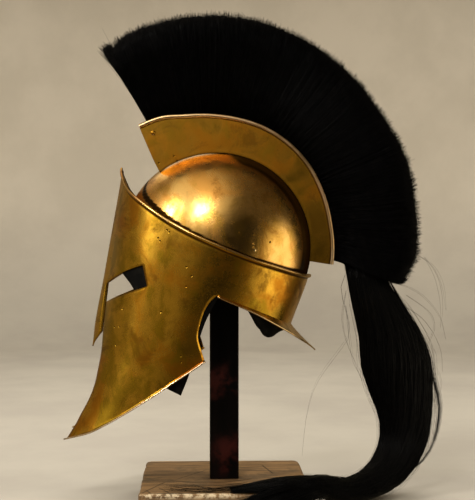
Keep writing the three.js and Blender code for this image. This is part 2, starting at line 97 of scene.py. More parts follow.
def along(edge, count):
    """count + 1 points at equal steps along the smooth path through an edge's corners."""
    path = smooth_path(edge)
    steps = np.linalg.norm(np.diff(path, axis=0), axis=1)
    run = np.concatenate([[0], np.cumsum(steps)])
    at = np.linspace(0, run[-1], count + 1)
    return np.stack([np.interp(at, run, path[:, k]) for k in range(path.shape[1])], 1)


def fill(top, bottom, left, right):
    """Coons patch: the two ruled sheets between opposite edges, less the flat blend of the corners."""
    u = np.linspace(0, 1, len(top))[None, :, None]
    v = np.linspace(0, 1, len(left))[:, None, None]
    ruled = top[None] * (1 - v) + bottom[None] * v + left[:, None] * (1 - u) + right[:, None] * u
    corners = (top[0] * (1 - u) + top[-1] * u) * (1 - v) + (bottom[0] * (1 - u) + bottom[-1] * u) * v
    return ruled - corners


print("fair curve half way from 0 to 10:", float(reading([(0, 0), (5, 4), (10, 10)])(5)))

# %% [markdown]
# A sheet is a grid of points with two triangles in each cell. Grids that share an edge are welded: points
# that round to the same hundredth of a millimetre become one, and cells that have shrunk to a line are
# dropped. The arrays go into the mesh in one step with `foreach_set`, which is far quicker than adding
# corners one by one.


# %% From grids to meshes
def grid_faces(rows, columns, around=False):
    """Triangles of a grid, closed across the last column when it goes around."""
    last = columns if around else columns - 1
    j, i = np.meshgrid(np.arange(rows - 1), np.arange(last), indexing="ij")
    a = j * columns + i
    b = j * columns + (i + 1) % columns
    c, d = a + columns, b + columns
    return np.concatenate([np.stack(t, -1).reshape(-1, 3) for t in ((a, c, b), (b, c, d))])


def weld(grids, around=False):
    """One sheet from several grids, with shared points merged; a fourth column, if there is one, is painted
    highlight and shade.
    """
    points = np.concatenate([g.reshape(-1, g.shape[-1]) for g in grids])
    first = np.cumsum([0] + [g.shape[0] * g.shape[1] for g in grids])
    faces = np.concatenate([grid_faces(*g.shape[:2], around) + s for g, s in zip(grids, first)])
    keys = np.round(points[:, :3] * 100 + 0.123).astype(np.int64)
    _, keep, place = np.unique(keys, axis=0, return_index=True, return_inverse=True)
    faces = place.reshape(-1)[faces]
    whole = (faces != np.roll(faces, 1, axis=1)).all(axis=1)
    return points[keep], faces[whole]


def normals_of(points, faces):
    """Each point's normal: the sum of the cross products of the faces that meet there."""
    a, b, c = (points[faces[:, k]] for k in range(3))
    cross = np.cross(b - a, c - a)
    total = np.stack([sum(np.bincount(faces[:, k], cross[:, n], len(points)) for k in range(3))
                      for n in range(3)], 1)
    return total / np.maximum(np.linalg.norm(total, axis=1, keepdims=True), 1e-9)


def make_mesh(name, points, faces, look, sharp=None):
    """An object at the origin from points in millimetres; a fourth column, if there is one, is painted
    highlight and shade, and rubbing on the crest's bead.
    """
    mesh = bpy.data.meshes.new(name)
    mesh.vertices.add(len(points))
    mesh.vertices.foreach_set("co", (points[:, :3] * MM).astype(np.float32).ravel())
    mesh.loops.add(faces.size)
    mesh.loops.foreach_set("vertex_index", faces.astype(np.int32).ravel())
    mesh.polygons.add(len(faces))
    mesh.polygons.foreach_set("loop_start", np.arange(0, faces.size, 3, dtype=np.int32))
    mesh.update(calc_edges=True)
    mesh.validate()
    mesh.polygons.foreach_set("use_smooth", np.ones(len(mesh.polygons), bool))
    if points.shape[1] == 4:
        wear_and_light = mesh.attributes.new("wear_and_light", "FLOAT", "POINT")
        wear_and_light.data.foreach_set("value", points[:, 3].astype(np.float32))
    if sharp:
        mesh.set_sharp_from_angle(angle=math.radians(sharp))
    mesh.materials.append(look)
    piece = bpy.data.objects.new(name, mesh)
    scene.collection.objects.link(piece)
    return piece


def dress(piece, slot, *stands_for):
    """The piece rides on the one body and stands for CAD nodes, which are hidden; slot is not used."""
    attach(piece, "root")
    if stands_for:
        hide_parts(*stands_for)
    print(f"{piece.name}: {len(piece.data.polygons)} faces, for {', '.join(stands_for) or 'its own look'}")
    return piece


def give_wall(piece, thick):
    """The sheet's own thickness, on its inner side."""
    wall = piece.modifiers.new("wall", "SOLIDIFY")
    wall.thickness = thick * MM
    wall.offset = -1
    wall.use_even_offset = True
    return piece


# %% [markdown]
# Hand-raised brass is never quite true: the hammer leaves long, shallow waves that show only because a
# polished surface bends its reflections. A bump texture would not change the outline, so the waves go
# into the mesh, as a sum of sine waves of random direction whose height shrinks with their length.


# %% Hammer waves in raised sheet
def hammer_waves(points, seed, longest, shortest, depth, count=12):
    """Sum of sines: each has a random direction and phase, and a height in proportion to its length."""
    rng = np.random.default_rng(seed)
    way = rng.normal(size=(count, 3))
    way /= np.linalg.norm(way, axis=1, keepdims=True)
    length = np.geomspace(longest, shortest, count)
    phase = rng.uniform(0, 2 * np.pi, count)
    waves = np.sin(points @ way.T * (2 * np.pi / length) + phase) * (length / longest)
    return depth * waves.sum(1) / np.sqrt(count / 2)


def raised(points, faces, seed, depth, longest=70, shortest=18):
    """A sheet with its hammer waves, moved along its own normals."""
    moved, place = points.copy(), points[:, :3]
    moved[:, :3] += normals_of(place, faces) * hammer_waves(place, seed, longest, shortest, depth)[:, None]
    return moved


def with_painted_light(grid, wear_and_light):
    """The grid with a fourth column: 1 for pale painted highlight, -1 for painted shade, 0 elsewhere."""
    wear_and_light = np.broadcast_to(wear_and_light, grid.shape[:2])
    return np.concatenate([grid, wear_and_light[..., None]], -1)


# %% [markdown]
# The helmet leans back on its post by fifteen degrees. In its own upright frame the mask is a stack of
# half ellipses, one for the face and one for the back of the head, with a low ridge down the nose line. A
# place on it is an angle round from the front and a drop below the bowl's middle, which is also how painted
# highlight, painted shade and rubbing are placed later.

# %% Where a point of the mask lies
BOWL = {"y": -9.3, "z": 304.6, "long": 116.5, "half": 95, "below_equator": 14}
TILT = math.radians(15)
BRASS_WALL = 1.5
GAP = 0.4
RIDGE_SPREAD = 16
# drop, front, rear, half width, where it is widest, height of the ridge
MASK_SECTIONS = [
    (-65, -136, 118.5, 97.3, 0, 2), (0, -130.3, 118.8, 97.3, 0, 3), (66, -124.6, 113.2, 94, -2, 6),
    (124, -120, 108, 89, -8, 8), (160, -115.5, 104, 86.5, -12, 7), (203, -114, 100, 84, -16, 4),
    (242, -120, 96, 82, -20, 2), (275, -134, 92, 81, -24, 2),
]
front_of, rear_of, half_of, middle_of, ridge_of = (reading(MASK_SECTIONS, k) for k in range(1, 6))


def lean(points):
    """From the helmet's upright frame to the stand's: turned back about X and lifted onto the post."""
    x, a, h = np.moveaxis(points[..., :3], -1, 0)
    y = a * math.cos(TILT) + h * math.sin(TILT) + BOWL["y"]
    z = -a * math.sin(TILT) + h * math.cos(TILT) + BOWL["z"]
    return np.concatenate([np.stack([x, y, z], -1), points[..., 3:]], -1)


def mask_point(degrees, drop, outward=0.0):
    """x = half sin, y = middle - reach cos - ridge exp(-(x / spread)^2), z = -drop.

    outward moves the point along the ellipse's own normal.
    """
    degrees, drop = np.broadcast_arrays(np.asarray(degrees, float), np.asarray(drop, float))
    turn = np.radians(degrees)
    half, middle, ridge = half_of(drop), middle_of(drop), ridge_of(drop)
    face = degrees < 90
    reach = np.where(face, middle - front_of(drop) - ridge, rear_of(drop) - middle)
    x = np.where(degrees >= 180, 0, half * np.sin(turn))
    crown = np.where(face, ridge * np.exp(-((x / RIDGE_SPREAD) ** 2)), 0)
    way = np.stack([np.sin(turn) / half, -np.cos(turn) / reach], -1)
    way /= np.linalg.norm(way, axis=-1, keepdims=True)
    y = middle - reach * np.cos(turn) - crown
    return np.stack([x + way[..., 0] * outward, y + way[..., 1] * outward, -drop], -1)


def on_mask(spots):
    """World places of (degrees, drop) spots on the mask's outside."""
    spots = np.array(spots, float)
    return lean(mask_point(spots[:, 0], spots[:, 1]))


print("nose ridge at eye height:", lean(mask_point(0, 90)).round(1))

# %% [markdown]
# Finishes are node trees. Written as arithmetic they read like a recipe: `1 - tarnish` adds a Math node
# and wires it. Colours are blended with Mix nodes, because a Math node would turn them grey. One method
# adds every other kind of node: its settings first, then a value or a link for each socket.


# %% Shader arithmetic
class Shade:
    """A socket in a material's tree. Arithmetic on it adds Math nodes."""

    def __init__(self, tree, socket=None):
        self.tree = tree
        self.socket = socket

    def node(self, kind, settings=None, inputs=None, output=0):
        made = self.tree.nodes.new(kind)
        for key, value in (settings or {}).items():
            setattr(made, key, value)
        for key, value in (inputs or {}).items():
            if isinstance(value, Shade):
                self.tree.links.new(value.socket, made.inputs[key])
            else:
                made.inputs[key].default_value = value
        return Shade(self.tree, made.outputs[output] if made.outputs else None)

    def math(self, operation, *terms):
        return self.node("ShaderNodeMath", {"operation": operation}, dict(enumerate(terms)))

    def __add__(self, other):
        return self.math("ADD", self, other)

    def __sub__(self, other):
        return self.math("SUBTRACT", self, other)

    def __rsub__(self, other):
        return self.math("SUBTRACT", other, self)

    def __mul__(self, other):
        return self.math("MULTIPLY", self, other)

    def __abs__(self):
        return self.math("ABSOLUTE", self)

    __radd__ = __add__
    __rmul__ = __mul__

    def between(self, low, high):
        """0 at low, 1 at high, with a smooth step; low may be the larger."""
        ends = {"Value": self, "From Min": low, "From Max": high}
        return self.node("ShaderNodeMapRange", {"interpolation_type": "SMOOTHSTEP"}, ends)

    def either(self, other):
        return self.math("MAXIMUM", self, other)

    def blend(self, first, second):
        """The first colour where this is 0 and the second where it is 1."""
        return self.node("ShaderNodeMix", {"data_type": "RGBA"}, {0: self, 6: first, 7: second}, 2)


def start_look(name):
    """An empty material, its tree as a Shade, and the object's own coordinates."""
    look = bpy.data.materials.new(name)
    look.use_nodes = True
    look.node_tree.nodes.clear()
    tree = Shade(look.node_tree)
    return look, tree, tree.node("ShaderNodeTexCoord", output="Object")


def stretched(where, scale, shift=(0, 0, 0)):
    """Coordinates drawn out or moved, for grain and for patterns that should differ."""
    return where.node("ShaderNodeMapping", {}, {"Vector": where, "Scale": scale, "Location": shift})


def clouds(where, scale, detail=3.0, rough=0.5, twist=0.0):
    """Noise from 0 to 1; scale is in waves to the metre."""
    inputs = {"Vector": where, "Scale": scale, "Detail": detail, "Roughness": rough, "Distortion": twist}
    return where.node("ShaderNodeTexNoise", {}, inputs)


def colour(red, green, blue):
    """A colour from 0 to 1 in linear light."""
    return (red, green, blue, 1.0)


def relief(height, deep):
    """A bump of that depth in millimetres for the normal."""
    inputs = {"Height": height, "Strength": 1.0, "Distance": deep * MM}
    return height.node("ShaderNodeBump", {}, inputs)


def close_look(tree, **sockets):
    """Ends a tree in a Principled surface with these sockets; _ in a name stands for a space."""
    inputs = {key.replace("_", " "): value for key, value in sockets.items()}
    surface = tree.node("ShaderNodeBsdfPrincipled", {}, inputs)
    tree.node("ShaderNodeOutputMaterial", {}, {"Surface": surface})


def spots(where, places, radius):
    """1 within a spot and 0 outside, from the distance to each place in millimetres."""
    total = None
    for place in places:
        middle = tuple(float(v) * MM for v in place)
        away = where.node("ShaderNodeVectorMath", {"operation": "DISTANCE"}, {0: where, 1: middle}, "Value")
        spot = away.between(radius * MM, radius * MM * 0.3)
        total = spot if total is None else total.either(spot)
    return total


# %% [markdown]
# The brass was polished long ago and left to tone: gold, amber and olive in broad patches, brown stains,
# with small pits. Pale painted highlight lies along lips and edges, with some rubbing on the crest's bead,
# and painted shade darkens the creases and the lines under the lips. An image could not follow a piece that
# is made of formulas, so the patches are noise at three sizes on the object's own coordinates. Pits and the
# nick marks sit where the old ones are, and a painted glint sits on the bowl and one on the crest.

# %% Brass finishes
MASK_PITS = [(61.3, -3.3), (56.9, 8.3), (76.8, 31.9), (80.8, 40.4), (79.4, 53.7), (40.5, 99.5), (35.6, 123.1),
             (40.5, 121.2), (41, 142.7), (69.3, 89.7), (90.4, 132.5), (91.6, 139.3), (63, -1.5), (58.5, 11)]
RIM_NICKS = [(91.3, -3.7), (96.5, -1.8)]
BOWL_NICKS = [(88.6, 32.5, 307.5), (88.6, 32.5, 303.5), (80.9, 51.5, 309.9)]
BOWL_GLINT, CREST_GLINT = (88.2, 33.7, 300.2), (23, -86.4, 440.6)
# The pale tint of painted highlight, and of rubbing on the crest's bead.
RUB_AND_HIGHLIGHT_PALE = (0.9, 0.7, 0.47)
# The paler tint of the nick marks on the mask and of the painted glints on bowl and crest.
NICK_AND_GLINT_PALE = (0.95, 0.85, 0.6)
PIT_RADIUS, NICK_AND_GLINT_RADIUS = 1.5, 1.7
# gold, amber, olive and brown of each brass, in linear light
SATIN_TONES = [(0.72, 0.4, 0.042), (0.5, 0.2, 0.012), (0.38, 0.235, 0.014), (0.15, 0.06, 0.005)]
BOWL_TONES = [(0.88, 0.52, 0.15), (0.76, 0.37, 0.08), (0.52, 0.29, 0.045), (0.28, 0.11, 0.014)]
CREST_TONES = [(0.5, 0.25, 0.024), (0.4, 0.16, 0.011), (0.3, 0.16, 0.012), (0.12, 0.05, 0.005)]
CREST_SPOTS = [(23, -79.2, 405.8), (23, -61, 414.3), (23, -57.4, 408.2), (23, -84.5, 443)]


def darker(tone, share):
    """A tone at a share of its light."""
    return colour(*(share * c for c in tone))


def brass_look(name, tones, dull, pits, nicks_and_glints, shift, film=0.0):
    """Gold, toned with amber, olive and brown by clouds; pits are sunk, painted highlight and rubbing are
    pale, and painted shade is dark.

    film says how far the painted highlight and shade hide the metal's mirror, 0 for uncoated metal and 1 for
    a dull coat.
    """
    gold, amber, olive, brown = tones
    look, tree, where = start_look(name)
    # The points' fourth column: painted pale highlight above 0, with rubbing on the crest's bead, and painted
    # shade below 0.
    worn = tree.node("ShaderNodeAttribute", {"attribute_name": "wear_and_light"}, output="Fac")
    rub_and_highlight, painted_shade = worn.between(0, 1), worn.between(0, -1)
    moved = stretched(where, (1, 1, 1), shift)
    broad = clouds(moved, 13, 5, 0.6, 0.8)
    small = clouds(stretched(where, (1, 1, 0.7), shift), 46, 4, 0.6, 0.4)
    fine = clouds(moved, 420, 3, 0.6)
    brushed = clouds(stretched(where, (1, 1, 0.06), shift), 900, 2)
    toned = (broad * 0.65 + small * 0.35).between(0.43, 0.59)
    green = (small * 0.55 + (1 - broad) * 0.45).between(0.47, 0.6)
    stained = (clouds(moved, 25, 6, 0.65, 1.0) + 0.12 * fine).between(0.56, 0.74)
    pitted = spots(where, pits, PIT_RADIUS)
    specks = fine.between(0.69, 0.76) * small.between(0.5, 0.62)
    # Nick marks on the mask's rim, and one painted glint each on the bowl and the crest.
    bright = spots(where, nicks_and_glints, NICK_AND_GLINT_RADIUS)
    tint = toned.blend(colour(*gold), colour(*amber))
    tint = (green * 0.8).blend(tint, colour(*olive))
    tint = (stained * 0.7).blend(tint, colour(*brown))
    tint = pitted.either(specks * 0.7).blend(tint, darker(brown, 0.3))
    # Painted highlight: a pale tint where the points carry highlight, and rubbing on the crest's bead.
    tint = (rub_and_highlight * 0.8).blend(tint, colour(*RUB_AND_HIGHLIGHT_PALE))
    # Painted shade: a dark brown where the points carry shade.
    shade_share = painted_shade.between(0, 1 - 0.5 * film) * (0.9 + 0.1 * film)
    tint = shade_share.blend(tint, darker(brown, 0.4 - 0.35 * film))
    tint = bright.blend(tint, colour(*NICK_AND_GLINT_PALE))
    rough = dull + 0.1 * toned + 0.1 * stained + 0.05 * brushed + 0.2 * pitted + 0.2 * painted_shade - 0.1 * bright
    height = 0.5 * small + 0.05 * fine + 0.04 * brushed - 1.2 * pitted - 0.3 * specks + 0.8 * bright
    metal = 1 - film * (0.5 * rub_and_highlight).either(painted_shade.between(0.5, 1))
    close_look(tree, Base_Color=tint, Metallic=metal, Roughness=rough, Normal=relief(height, 0.35),
               Specular_IOR_Level=0.0)
    return look


brass = brass_look("satin_brass", SATIN_TONES, 0.2, on_mask(MASK_PITS), on_mask(RIM_NICKS), (0, 0, 0))
bowl_brass = brass_look("bowl_brass", BOWL_TONES, 0.17, BOWL_NICKS, [BOWL_GLINT], (0.31, 0.12, 0.4), film=1.0)
crest_brass = brass_look("dull_crest_brass", CREST_TONES, 0.3, CREST_SPOTS, [CREST_GLINT], (0.7, 0.5, 0.1))
print("finishes:", brass.name, bowl_brass.name, crest_brass.name)

# %% [markdown]
# The mask is one sheet of brass: brow, nasal, cheeks, neck wall and a neck guard that flares at the back.
# Its edges are measured as angle and drop where they bend. Each field between edges is filled as a Coons
# patch, laid on the mask's surface and welded to its neighbours, so the eye openings and the ear arches
# come out as edges of the sheet and not as cuts. The rim and the cheeks end in a turned lip, carried
# along the edge as a small profile.

# %% Mask
RIM = [(0, -62.5), (13, -50), (24, -39), (43, -26), (65, -11.5), (80, -4.5), (99, 1.5), (116, 4.5), (148, 6),
       (180, 4)]
NOSE_ROOT = [(0, 77.5), (9.2, 77.5)]
NOSE_EDGE = [(9.2, 77.5), (11, 112), (12, 138)]
NOSE_TIP = [(0, 157), (12, 138)]
NOSE_LINE = [(0, 77.5), (0, 157)]
EYE_TOP = [(9.2, 77.5), (30.5, 60.5), (50, 43.3)]
EYE_REAR = [(50, 43.3), (56, 65.7)]
EYE_BOTTOM = [(15.5, 98.5), (33, 87.2), (48, 73.8), (56, 65.7)]
TEMPLE = [(50, 43.3), (98, 53.5)]
JAW = [(56, 65.7), (93.4, 77)]
EAR_UPPER = [(98, 53.5), (94.8, 64), (93.4, 77)]
EAR_LOWER = [(93.4, 77), (93.9, 92.3), (95.6, 107.4), (101.5, 124), (104, 131)]
CHEEK_FRONT = [(15.5, 98.5), (18.6, 133), (25.3, 175), (28, 193), (27.8, 213), (28, 246), (30.7, 267)]
CHEEK_BOTTOM = [(30.7, 267), (46, 252), (56.7, 235.3), (67.5, 215), (88, 172.6), (104, 131)]
NECK_CREASE = [(98, 53.5), (119, 59), (154.5, 66), (180, 67)]
NECK_GUARD = {"out": (3, 38), "down": (2, 24), "curl": 1.2}
# The turned rim, as outward and down from the rim line, and the cheek lip, as share of its height and outward
RIM_LIP = [(0.3, -0.9), (1.3, -1.5), (2.4, -1.2), (3.1, -0.2), (3.1, 1.0), (2.4, 2.0), (1.1, 2.7), (0.1, 3.2),
           (-0.3, 4.0), (0, 6.0)]
# Down the rim's lip row by row: painted shade on its top edge, painted highlight on its outer face, painted
# shade in the groove under it.
RIM_HIGHLIGHT_AND_SHADE = (-0.7, -0.3, 0.25, 0.4, 0.1, -0.3, -0.7, -1, -0.8, 0)
CHEEK_LIP = [(0.35, 0.1), (0.6, 0.6), (0.78, 1.5), (0.9, 2.7), (0.97, 3.7), (1, 4.4)]
# Along the cheek's lip: painted shade where it bends, then a pale painted reflection of the floor on its
# turned edge.
CHEEK_LIP_REFLECTION_AND_SHADE = (-0.3, -0.4, 0.2, 0.9, 1, 1)
CHEEK_LIP_HIGH = 5.0
MASK_GRID = {"nose": 8, "eye": 26, "temple": 22, "neck": 44, "band": 26, "nose_rows": 24, "upper": 12,
             "cheek": 44, "guard": 12}
rim_drop = reading(RIM)


def mask_band(lower):
    """Rows from the turned rim down to the eyes, the ears and the neck crease."""
    degrees, low = lower.T
    top = rim_drop(degrees)
    lip = [mask_point(degrees, top + down, out) for out, down in RIM_LIP]
    start = top + RIM_LIP[-1][1]
    share = np.linspace(0, 1, MASK_GRID["band"] + 1)[1:, None]
    wall = mask_point(np.broadcast_to(degrees, (len(share), len(degrees))), start * (1 - share) + low * share)
    wear_and_light = np.concatenate([RIM_HIGHLIGHT_AND_SHADE, np.zeros(len(wall))])[:, None]
    return with_painted_light(np.concatenate([np.stack(lip), wall]), wear_and_light)


def mask_cheek(top):
    """The lower cheek; its last millimetres turn outward along the bottom edge."""
    rows = MASK_GRID["cheek"]
    flat = fill(top, along(CHEEK_BOTTOM, len(top) - 1), along(CHEEK_FRONT, rows), along(EAR_LOWER, rows))
    sheet = mask_point(flat[..., 0], flat[..., 1])
    above, edge = sheet[-2], sheet[-1]
    apart = np.linalg.norm(edge - above, axis=-1)
    first = 1 - np.minimum(0.9, CHEEK_LIP_HIGH / np.maximum(apart, 1e-6))
    lip = []
    for share, out in CHEEK_LIP:
        place = (first + (1 - first) * share)[:, None]
        spot = flat[-2] * (1 - place) + flat[-1] * place
        lip.append(mask_point(spot[:, 0], spot[:, 1], out))
    wear_and_light = np.concatenate([np.zeros(len(sheet) - 1), CHEEK_LIP_REFLECTION_AND_SHADE])[:, None]
    return with_painted_light(np.concatenate([sheet[:-1], np.stack(lip)]), wear_and_light)


def mask_guard(crease):
    """The neck guard: out and down from the crease, most at the back, with a slight curl."""
    degrees, drop = crease.T
    u = np.linspace(0, 1, MASK_GRID["guard"] + 1)[:, None]
    back = ((degrees - degrees[0]) / (180 - degrees[0])) ** 2
    out, down = (low + (high - low) * back for low, high in (NECK_GUARD["out"], NECK_GUARD["down"]))
    guard = mask_point(np.broadcast_to(degrees, (len(u), len(degrees))), drop, out * u ** NECK_GUARD["curl"])
    guard[..., 2] -= down * u
    # The guard's last row gets a pale painted highlight along its edge.
    return with_painted_light(guard, np.where(u > 0.95, 0.6, 0))


def mirrored(grids):
    """The grids and their mirror images across the middle plane, facing outward."""
    return grids + [g[:, ::-1] * np.array([-1, 1, 1, 1])[:g.shape[-1]] for g in grids]


def mask_half():
    """The fields of one half: band and lip, nose, temple, cheek and neck guard."""
    g = MASK_GRID
    nose_root, eye_top = along(NOSE_ROOT, g["nose"]), along(EYE_TOP, g["eye"])
    temple, crease = along(TEMPLE, g["temple"]), along(NECK_CREASE, g["neck"])
    jaw = along(JAW, g["temple"])
    lower = np.concatenate([nose_root, eye_top[1:], temple[1:], crease[1:]])
    nose = fill(nose_root, along(NOSE_TIP, g["nose"]), along(NOSE_LINE, g["nose_rows"]),
                along(NOSE_EDGE, g["nose_rows"]))
    upper = fill(temple, jaw, along(EYE_REAR, g["upper"]), along(EAR_UPPER, g["upper"]))
    cheek_top = np.concatenate([along(EYE_BOTTOM, g["eye"]), jaw[1:]])
    on_sheet = [with_painted_light(mask_point(p[..., 0], p[..., 1]), 0) for p in (nose, upper)]
    return [mask_band(lower), *on_sheet, mask_cheek(cheek_top), mask_guard(crease)]


mask_points, mask_faces = weld([lean(g) for g in mirrored(mask_half())])
mask_points = raised(mask_points, mask_faces, 7, 0.16)
mask = give_wall(make_mesh("brass_mask", mask_points, mask_faces, brass, 40), BRASS_WALL)
dress(mask, "brass", "mask")

# %% [markdown]
# The bowl is the round skull of the helmet, raised from one disc of brass and let into the mask. It is an
# ellipsoid, longer than wide, that ends just below its widest line. A sphere scaled in the viewport would
# carry its scale with it; a grid of latitude and longitude keeps the size in the mesh and closes at the
# pole.

# %% Bowl
BOWL_GRID = {"rings": 56, "sides": 160}
# Along the crest's foot, by angle from the rear: painted shade, pale painted highlight and its end, and how
# wide each spreads
FOOT_STOPS, FOOT_HIGHLIGHT_AND_SHADE = (72, 98, 122, 128), (-1, 0.8, 0.8, 0)
CREST_FOOT = {"half": 23, "highlight_spread": 8, "shade_spread": 24}
# How far the painted shade along the mask's rim spreads up the bowl, in millimetres.
RIM_SHADE_SPREAD = 3


def bowl_sheet():
    """x = half sin v sin t, y = -long sin v cos t, z = long cos v, down to just below the equator."""
    lowest = math.acos(-BOWL["below_equator"] / BOWL["long"])
    v = np.linspace(0, lowest, BOWL_GRID["rings"] + 1)[:, None]
    t = np.linspace(0, 2 * np.pi, BOWL_GRID["sides"] + 1)[None, :]
    shape = np.broadcast_shapes(v.shape, t.shape)
    x = BOWL["half"] * np.sin(v) * np.sin(t)
    y = -BOWL["long"] * np.sin(v) * np.cos(t)
    return np.stack([x, y, np.broadcast_to(BOWL["long"] * np.cos(v), shape)], -1)


def bowl_painted_light(sheet):
    """Painted shade fades away from the mask's rim and the crest's rear foot; beside its front is a pale
    painted highlight.
    """
    x, y, z = np.moveaxis(sheet, -1, 0)
    degrees = np.degrees(np.arctan2(np.abs(x) / BOWL["half"], -y / BOWL["long"]))
    above_rim = z + rim_drop(degrees)
    upward = lean(sheet) - np.array([0, BOWL["y"], BOWL["z"]])
    along_crest = np.degrees(np.arctan2(upward[..., 2], upward[..., 1]))
    share = np.interp(along_crest, FOOT_STOPS, FOOT_HIGHLIGHT_AND_SHADE)
    spread = np.where(share < 0, CREST_FOOT["shade_spread"], CREST_FOOT["highlight_spread"])
    beside_crest = np.maximum(np.abs(x) - CREST_FOOT["half"], 0) / spread
    foot = np.exp(-(beside_crest**2)) * (along_crest > -90) * share
    return foot - np.exp(-((above_rim / RIM_SHADE_SPREAD) ** 2))


bowl_round = bowl_sheet()
bowl_points, bowl_faces = weld([lean(with_painted_light(bowl_round, bowl_painted_light(bowl_round)))])
bowl_points = raised(bowl_points, bowl_faces, 21, 0.1, 90, 30)
bowl = give_wall(make_mesh("brass_bowl", bowl_points, bowl_faces, bowl_brass), BRASS_WALL)
dress(bowl, "brass", "bowl")

# %% [markdown]
# Black leather tongues lie inside the cheeks and the neck, just behind the brass. They show in the eye,
# under the cheek and under the neck guard. They are laid on the mask's own surface, one brass wall and a
# hair's gap inside it. The grain is fine Voronoi cells: their distance makes small pebbles with creases
# between them.

# %% Leather tongues
LEATHER_WALL = 2.0
LINER_DEPTH = -(BRASS_WALL + GAP)
CHEEK_LINER = {
    "top": [(27, 56), (40, 38), (60, 30), (101, 36)],
    "bottom": [(88, 173), (98.7, 177.5)],
    "front": [(27, 56), (45.5, 73), (66, 112), (88, 173)],
    "rear": [(101, 36), (97, 75), (96.5, 100), (98.8, 149), (98.7, 177.5)],
}
NECK_LINER = {
    "top": [(118, 32), (180, 32)],
    "bottom": [(118, 58), (128, 74), (138, 87), (146, 87), (156, 78), (180, 72)],
}


def leather_look():
    """Near black, paler where it is worn; the distance to Voronoi cells makes the grain."""
    look, tree, where = start_look("black_leather")
    cells = tree.node("ShaderNodeTexVoronoi", {}, {"Vector": where, "Scale": 900.0})
    worn = clouds(where, 60, 4, 0.6).between(0.45, 0.7)
    tint = worn.blend(colour(0.002, 0.0018, 0.0017), colour(0.007, 0.006, 0.005))
    rough = 0.62 - 0.12 * worn
    close_look(tree, Base_Color=tint, Roughness=rough, Specular_IOR_Level=0.06,
               Normal=relief(cells + 0.4 * worn, 0.15))
    return look


def lining(spots_on_mask):
    """Places on the mask, moved in by the brass wall and the gap, and leaned with the helmet."""
    return lean(mask_point(spots_on_mask[..., 0], spots_on_mask[..., 1], LINER_DEPTH))


leather = leather_look()
cheek_fill = fill(*(along(CHEEK_LINER[edge], 30) for edge in ("top", "bottom", "front", "rear")))
for side, flip in (("left", 1), ("right", -1)):
    tongue = lining(cheek_fill)[:, ::flip] * np.array([flip, 1, 1])
    points, faces = weld([tongue])
    points = raised(points, faces, 3, 0.12, 40, 14)
    piece = give_wall(make_mesh(f"leather_cheek_{side}", points, faces, leather), LEATHER_WALL)
    dress(piece, "leather", f"liner_cheek_{side}")
neck_top, neck_bottom = along(NECK_LINER["top"], 40), along(NECK_LINER["bottom"], 40)
neck_share = np.linspace(0, 1, 12)[:, None, None]
neck_half = lining(neck_top * (1 - neck_share) + neck_bottom * neck_share)
points, faces = weld(mirrored([neck_half]))
piece = give_wall(make_mesh("leather_neck", points, faces, leather), LEATHER_WALL)
dress(piece, "leather", "liner_neck")

# %% [markdown]
# The crest box is a soldered channel of duller brass over the bowl: two side plates, a floor, end plates
# and a rolled bead along the top that stiffens the edge. Its section is a closed outline that is carried
# round the bowl's middle. The height grows towards the front, where the end leans, so angle and radius
# both vary.

# %% Crest box
CREST = {"half": 23, "wall": 1.5, "floor": 1.5, "rear": -8.8, "front_top": 122.6, "front_foot": 127.2,
         "front_high": 59, "bead": 2.2, "bead_high": 5, "steps": 130, "end_plate": 0.006}
CREST_HEIGHT = [(-9, 143.5), (8, 143), (26, 146.4), (42, 151.6), (55, 155), (67, 157.4), (80, 159),
                (91.5, 161.3), (103, 165.2), (113, 172), (123, 175.5)]
crest_outer = reading(CREST_HEIGHT)
CREST_FLOOR = BOWL["long"] + GAP
CREST_INSIDE = CREST["half"] - CREST["wall"]


def around_bowl(x, degrees, radius):
    """The point at an angle from the rear, over the top, and a radius round the bowl's middle."""
    x, degrees, radius = np.broadcast_arrays(x, degrees, radius)
    turn = np.radians(degrees)
    return np.stack([x, np.cos(turn) * radius + BOWL["y"], np.sin(turn) * radius + BOWL["z"]], -1)


def crest_degrees(place, radius):
    """From the rear end at 0 to the leaning front end at 1."""
    share = 1 - (radius - BOWL["long"]) / CREST["front_high"]
    front = CREST["front_top"] + (CREST["front_foot"] - CREST["front_top"]) * share
    return CREST["rear"] + (front - CREST["rear"]) * place


def crest_rings(places, outline):
    """Rings of the outline (x, height above or below the top, whether it hangs from the top)."""
    x, level, hangs = np.array(outline, float).T
    top = crest_outer(CREST["rear"] + (CREST["front_top"] - CREST["rear"]) * places)[:, None]
    radius = level[None, :] + hangs[None, :] * top
    return around_bowl(x[None, :], crest_degrees(places[:, None], radius), radius)


def crest_outline():
    """Half the section from the floor's edge round the plate and its bead, then mirrored."""
    seat = BOWL["long"] * math.sqrt(1 - (CREST_INSIDE / BOWL["half"]) ** 2) + GAP
    half, high = CREST["half"], CREST["bead_high"]
    plate = [(half, seat + (k / 6) * 18, 0) for k in range(7)]
    upper = [(half, -high - 6 * (1 - k / 3), 1) for k in range(4)]
    turn = np.linspace(-np.pi / 2, np.pi / 2, 12)[1:-1]
    bead = [(half + CREST["bead"] * math.cos(t), -high / 2 + high / 2 * math.sin(t), 1) for t in turn]
    inner = [(half - 0.4, 0, 1), (CREST_INSIDE, 0, 1), (CREST_INSIDE, CREST_FLOOR + CREST["floor"], 0)]
    side = [(CREST_INSIDE, CREST_FLOOR, 0), (CREST_INSIDE, seat, 0), *plate, *upper, *bead, *inner]
    return side + [(-x, level, hangs) for x, level, hangs in side[::-1]]


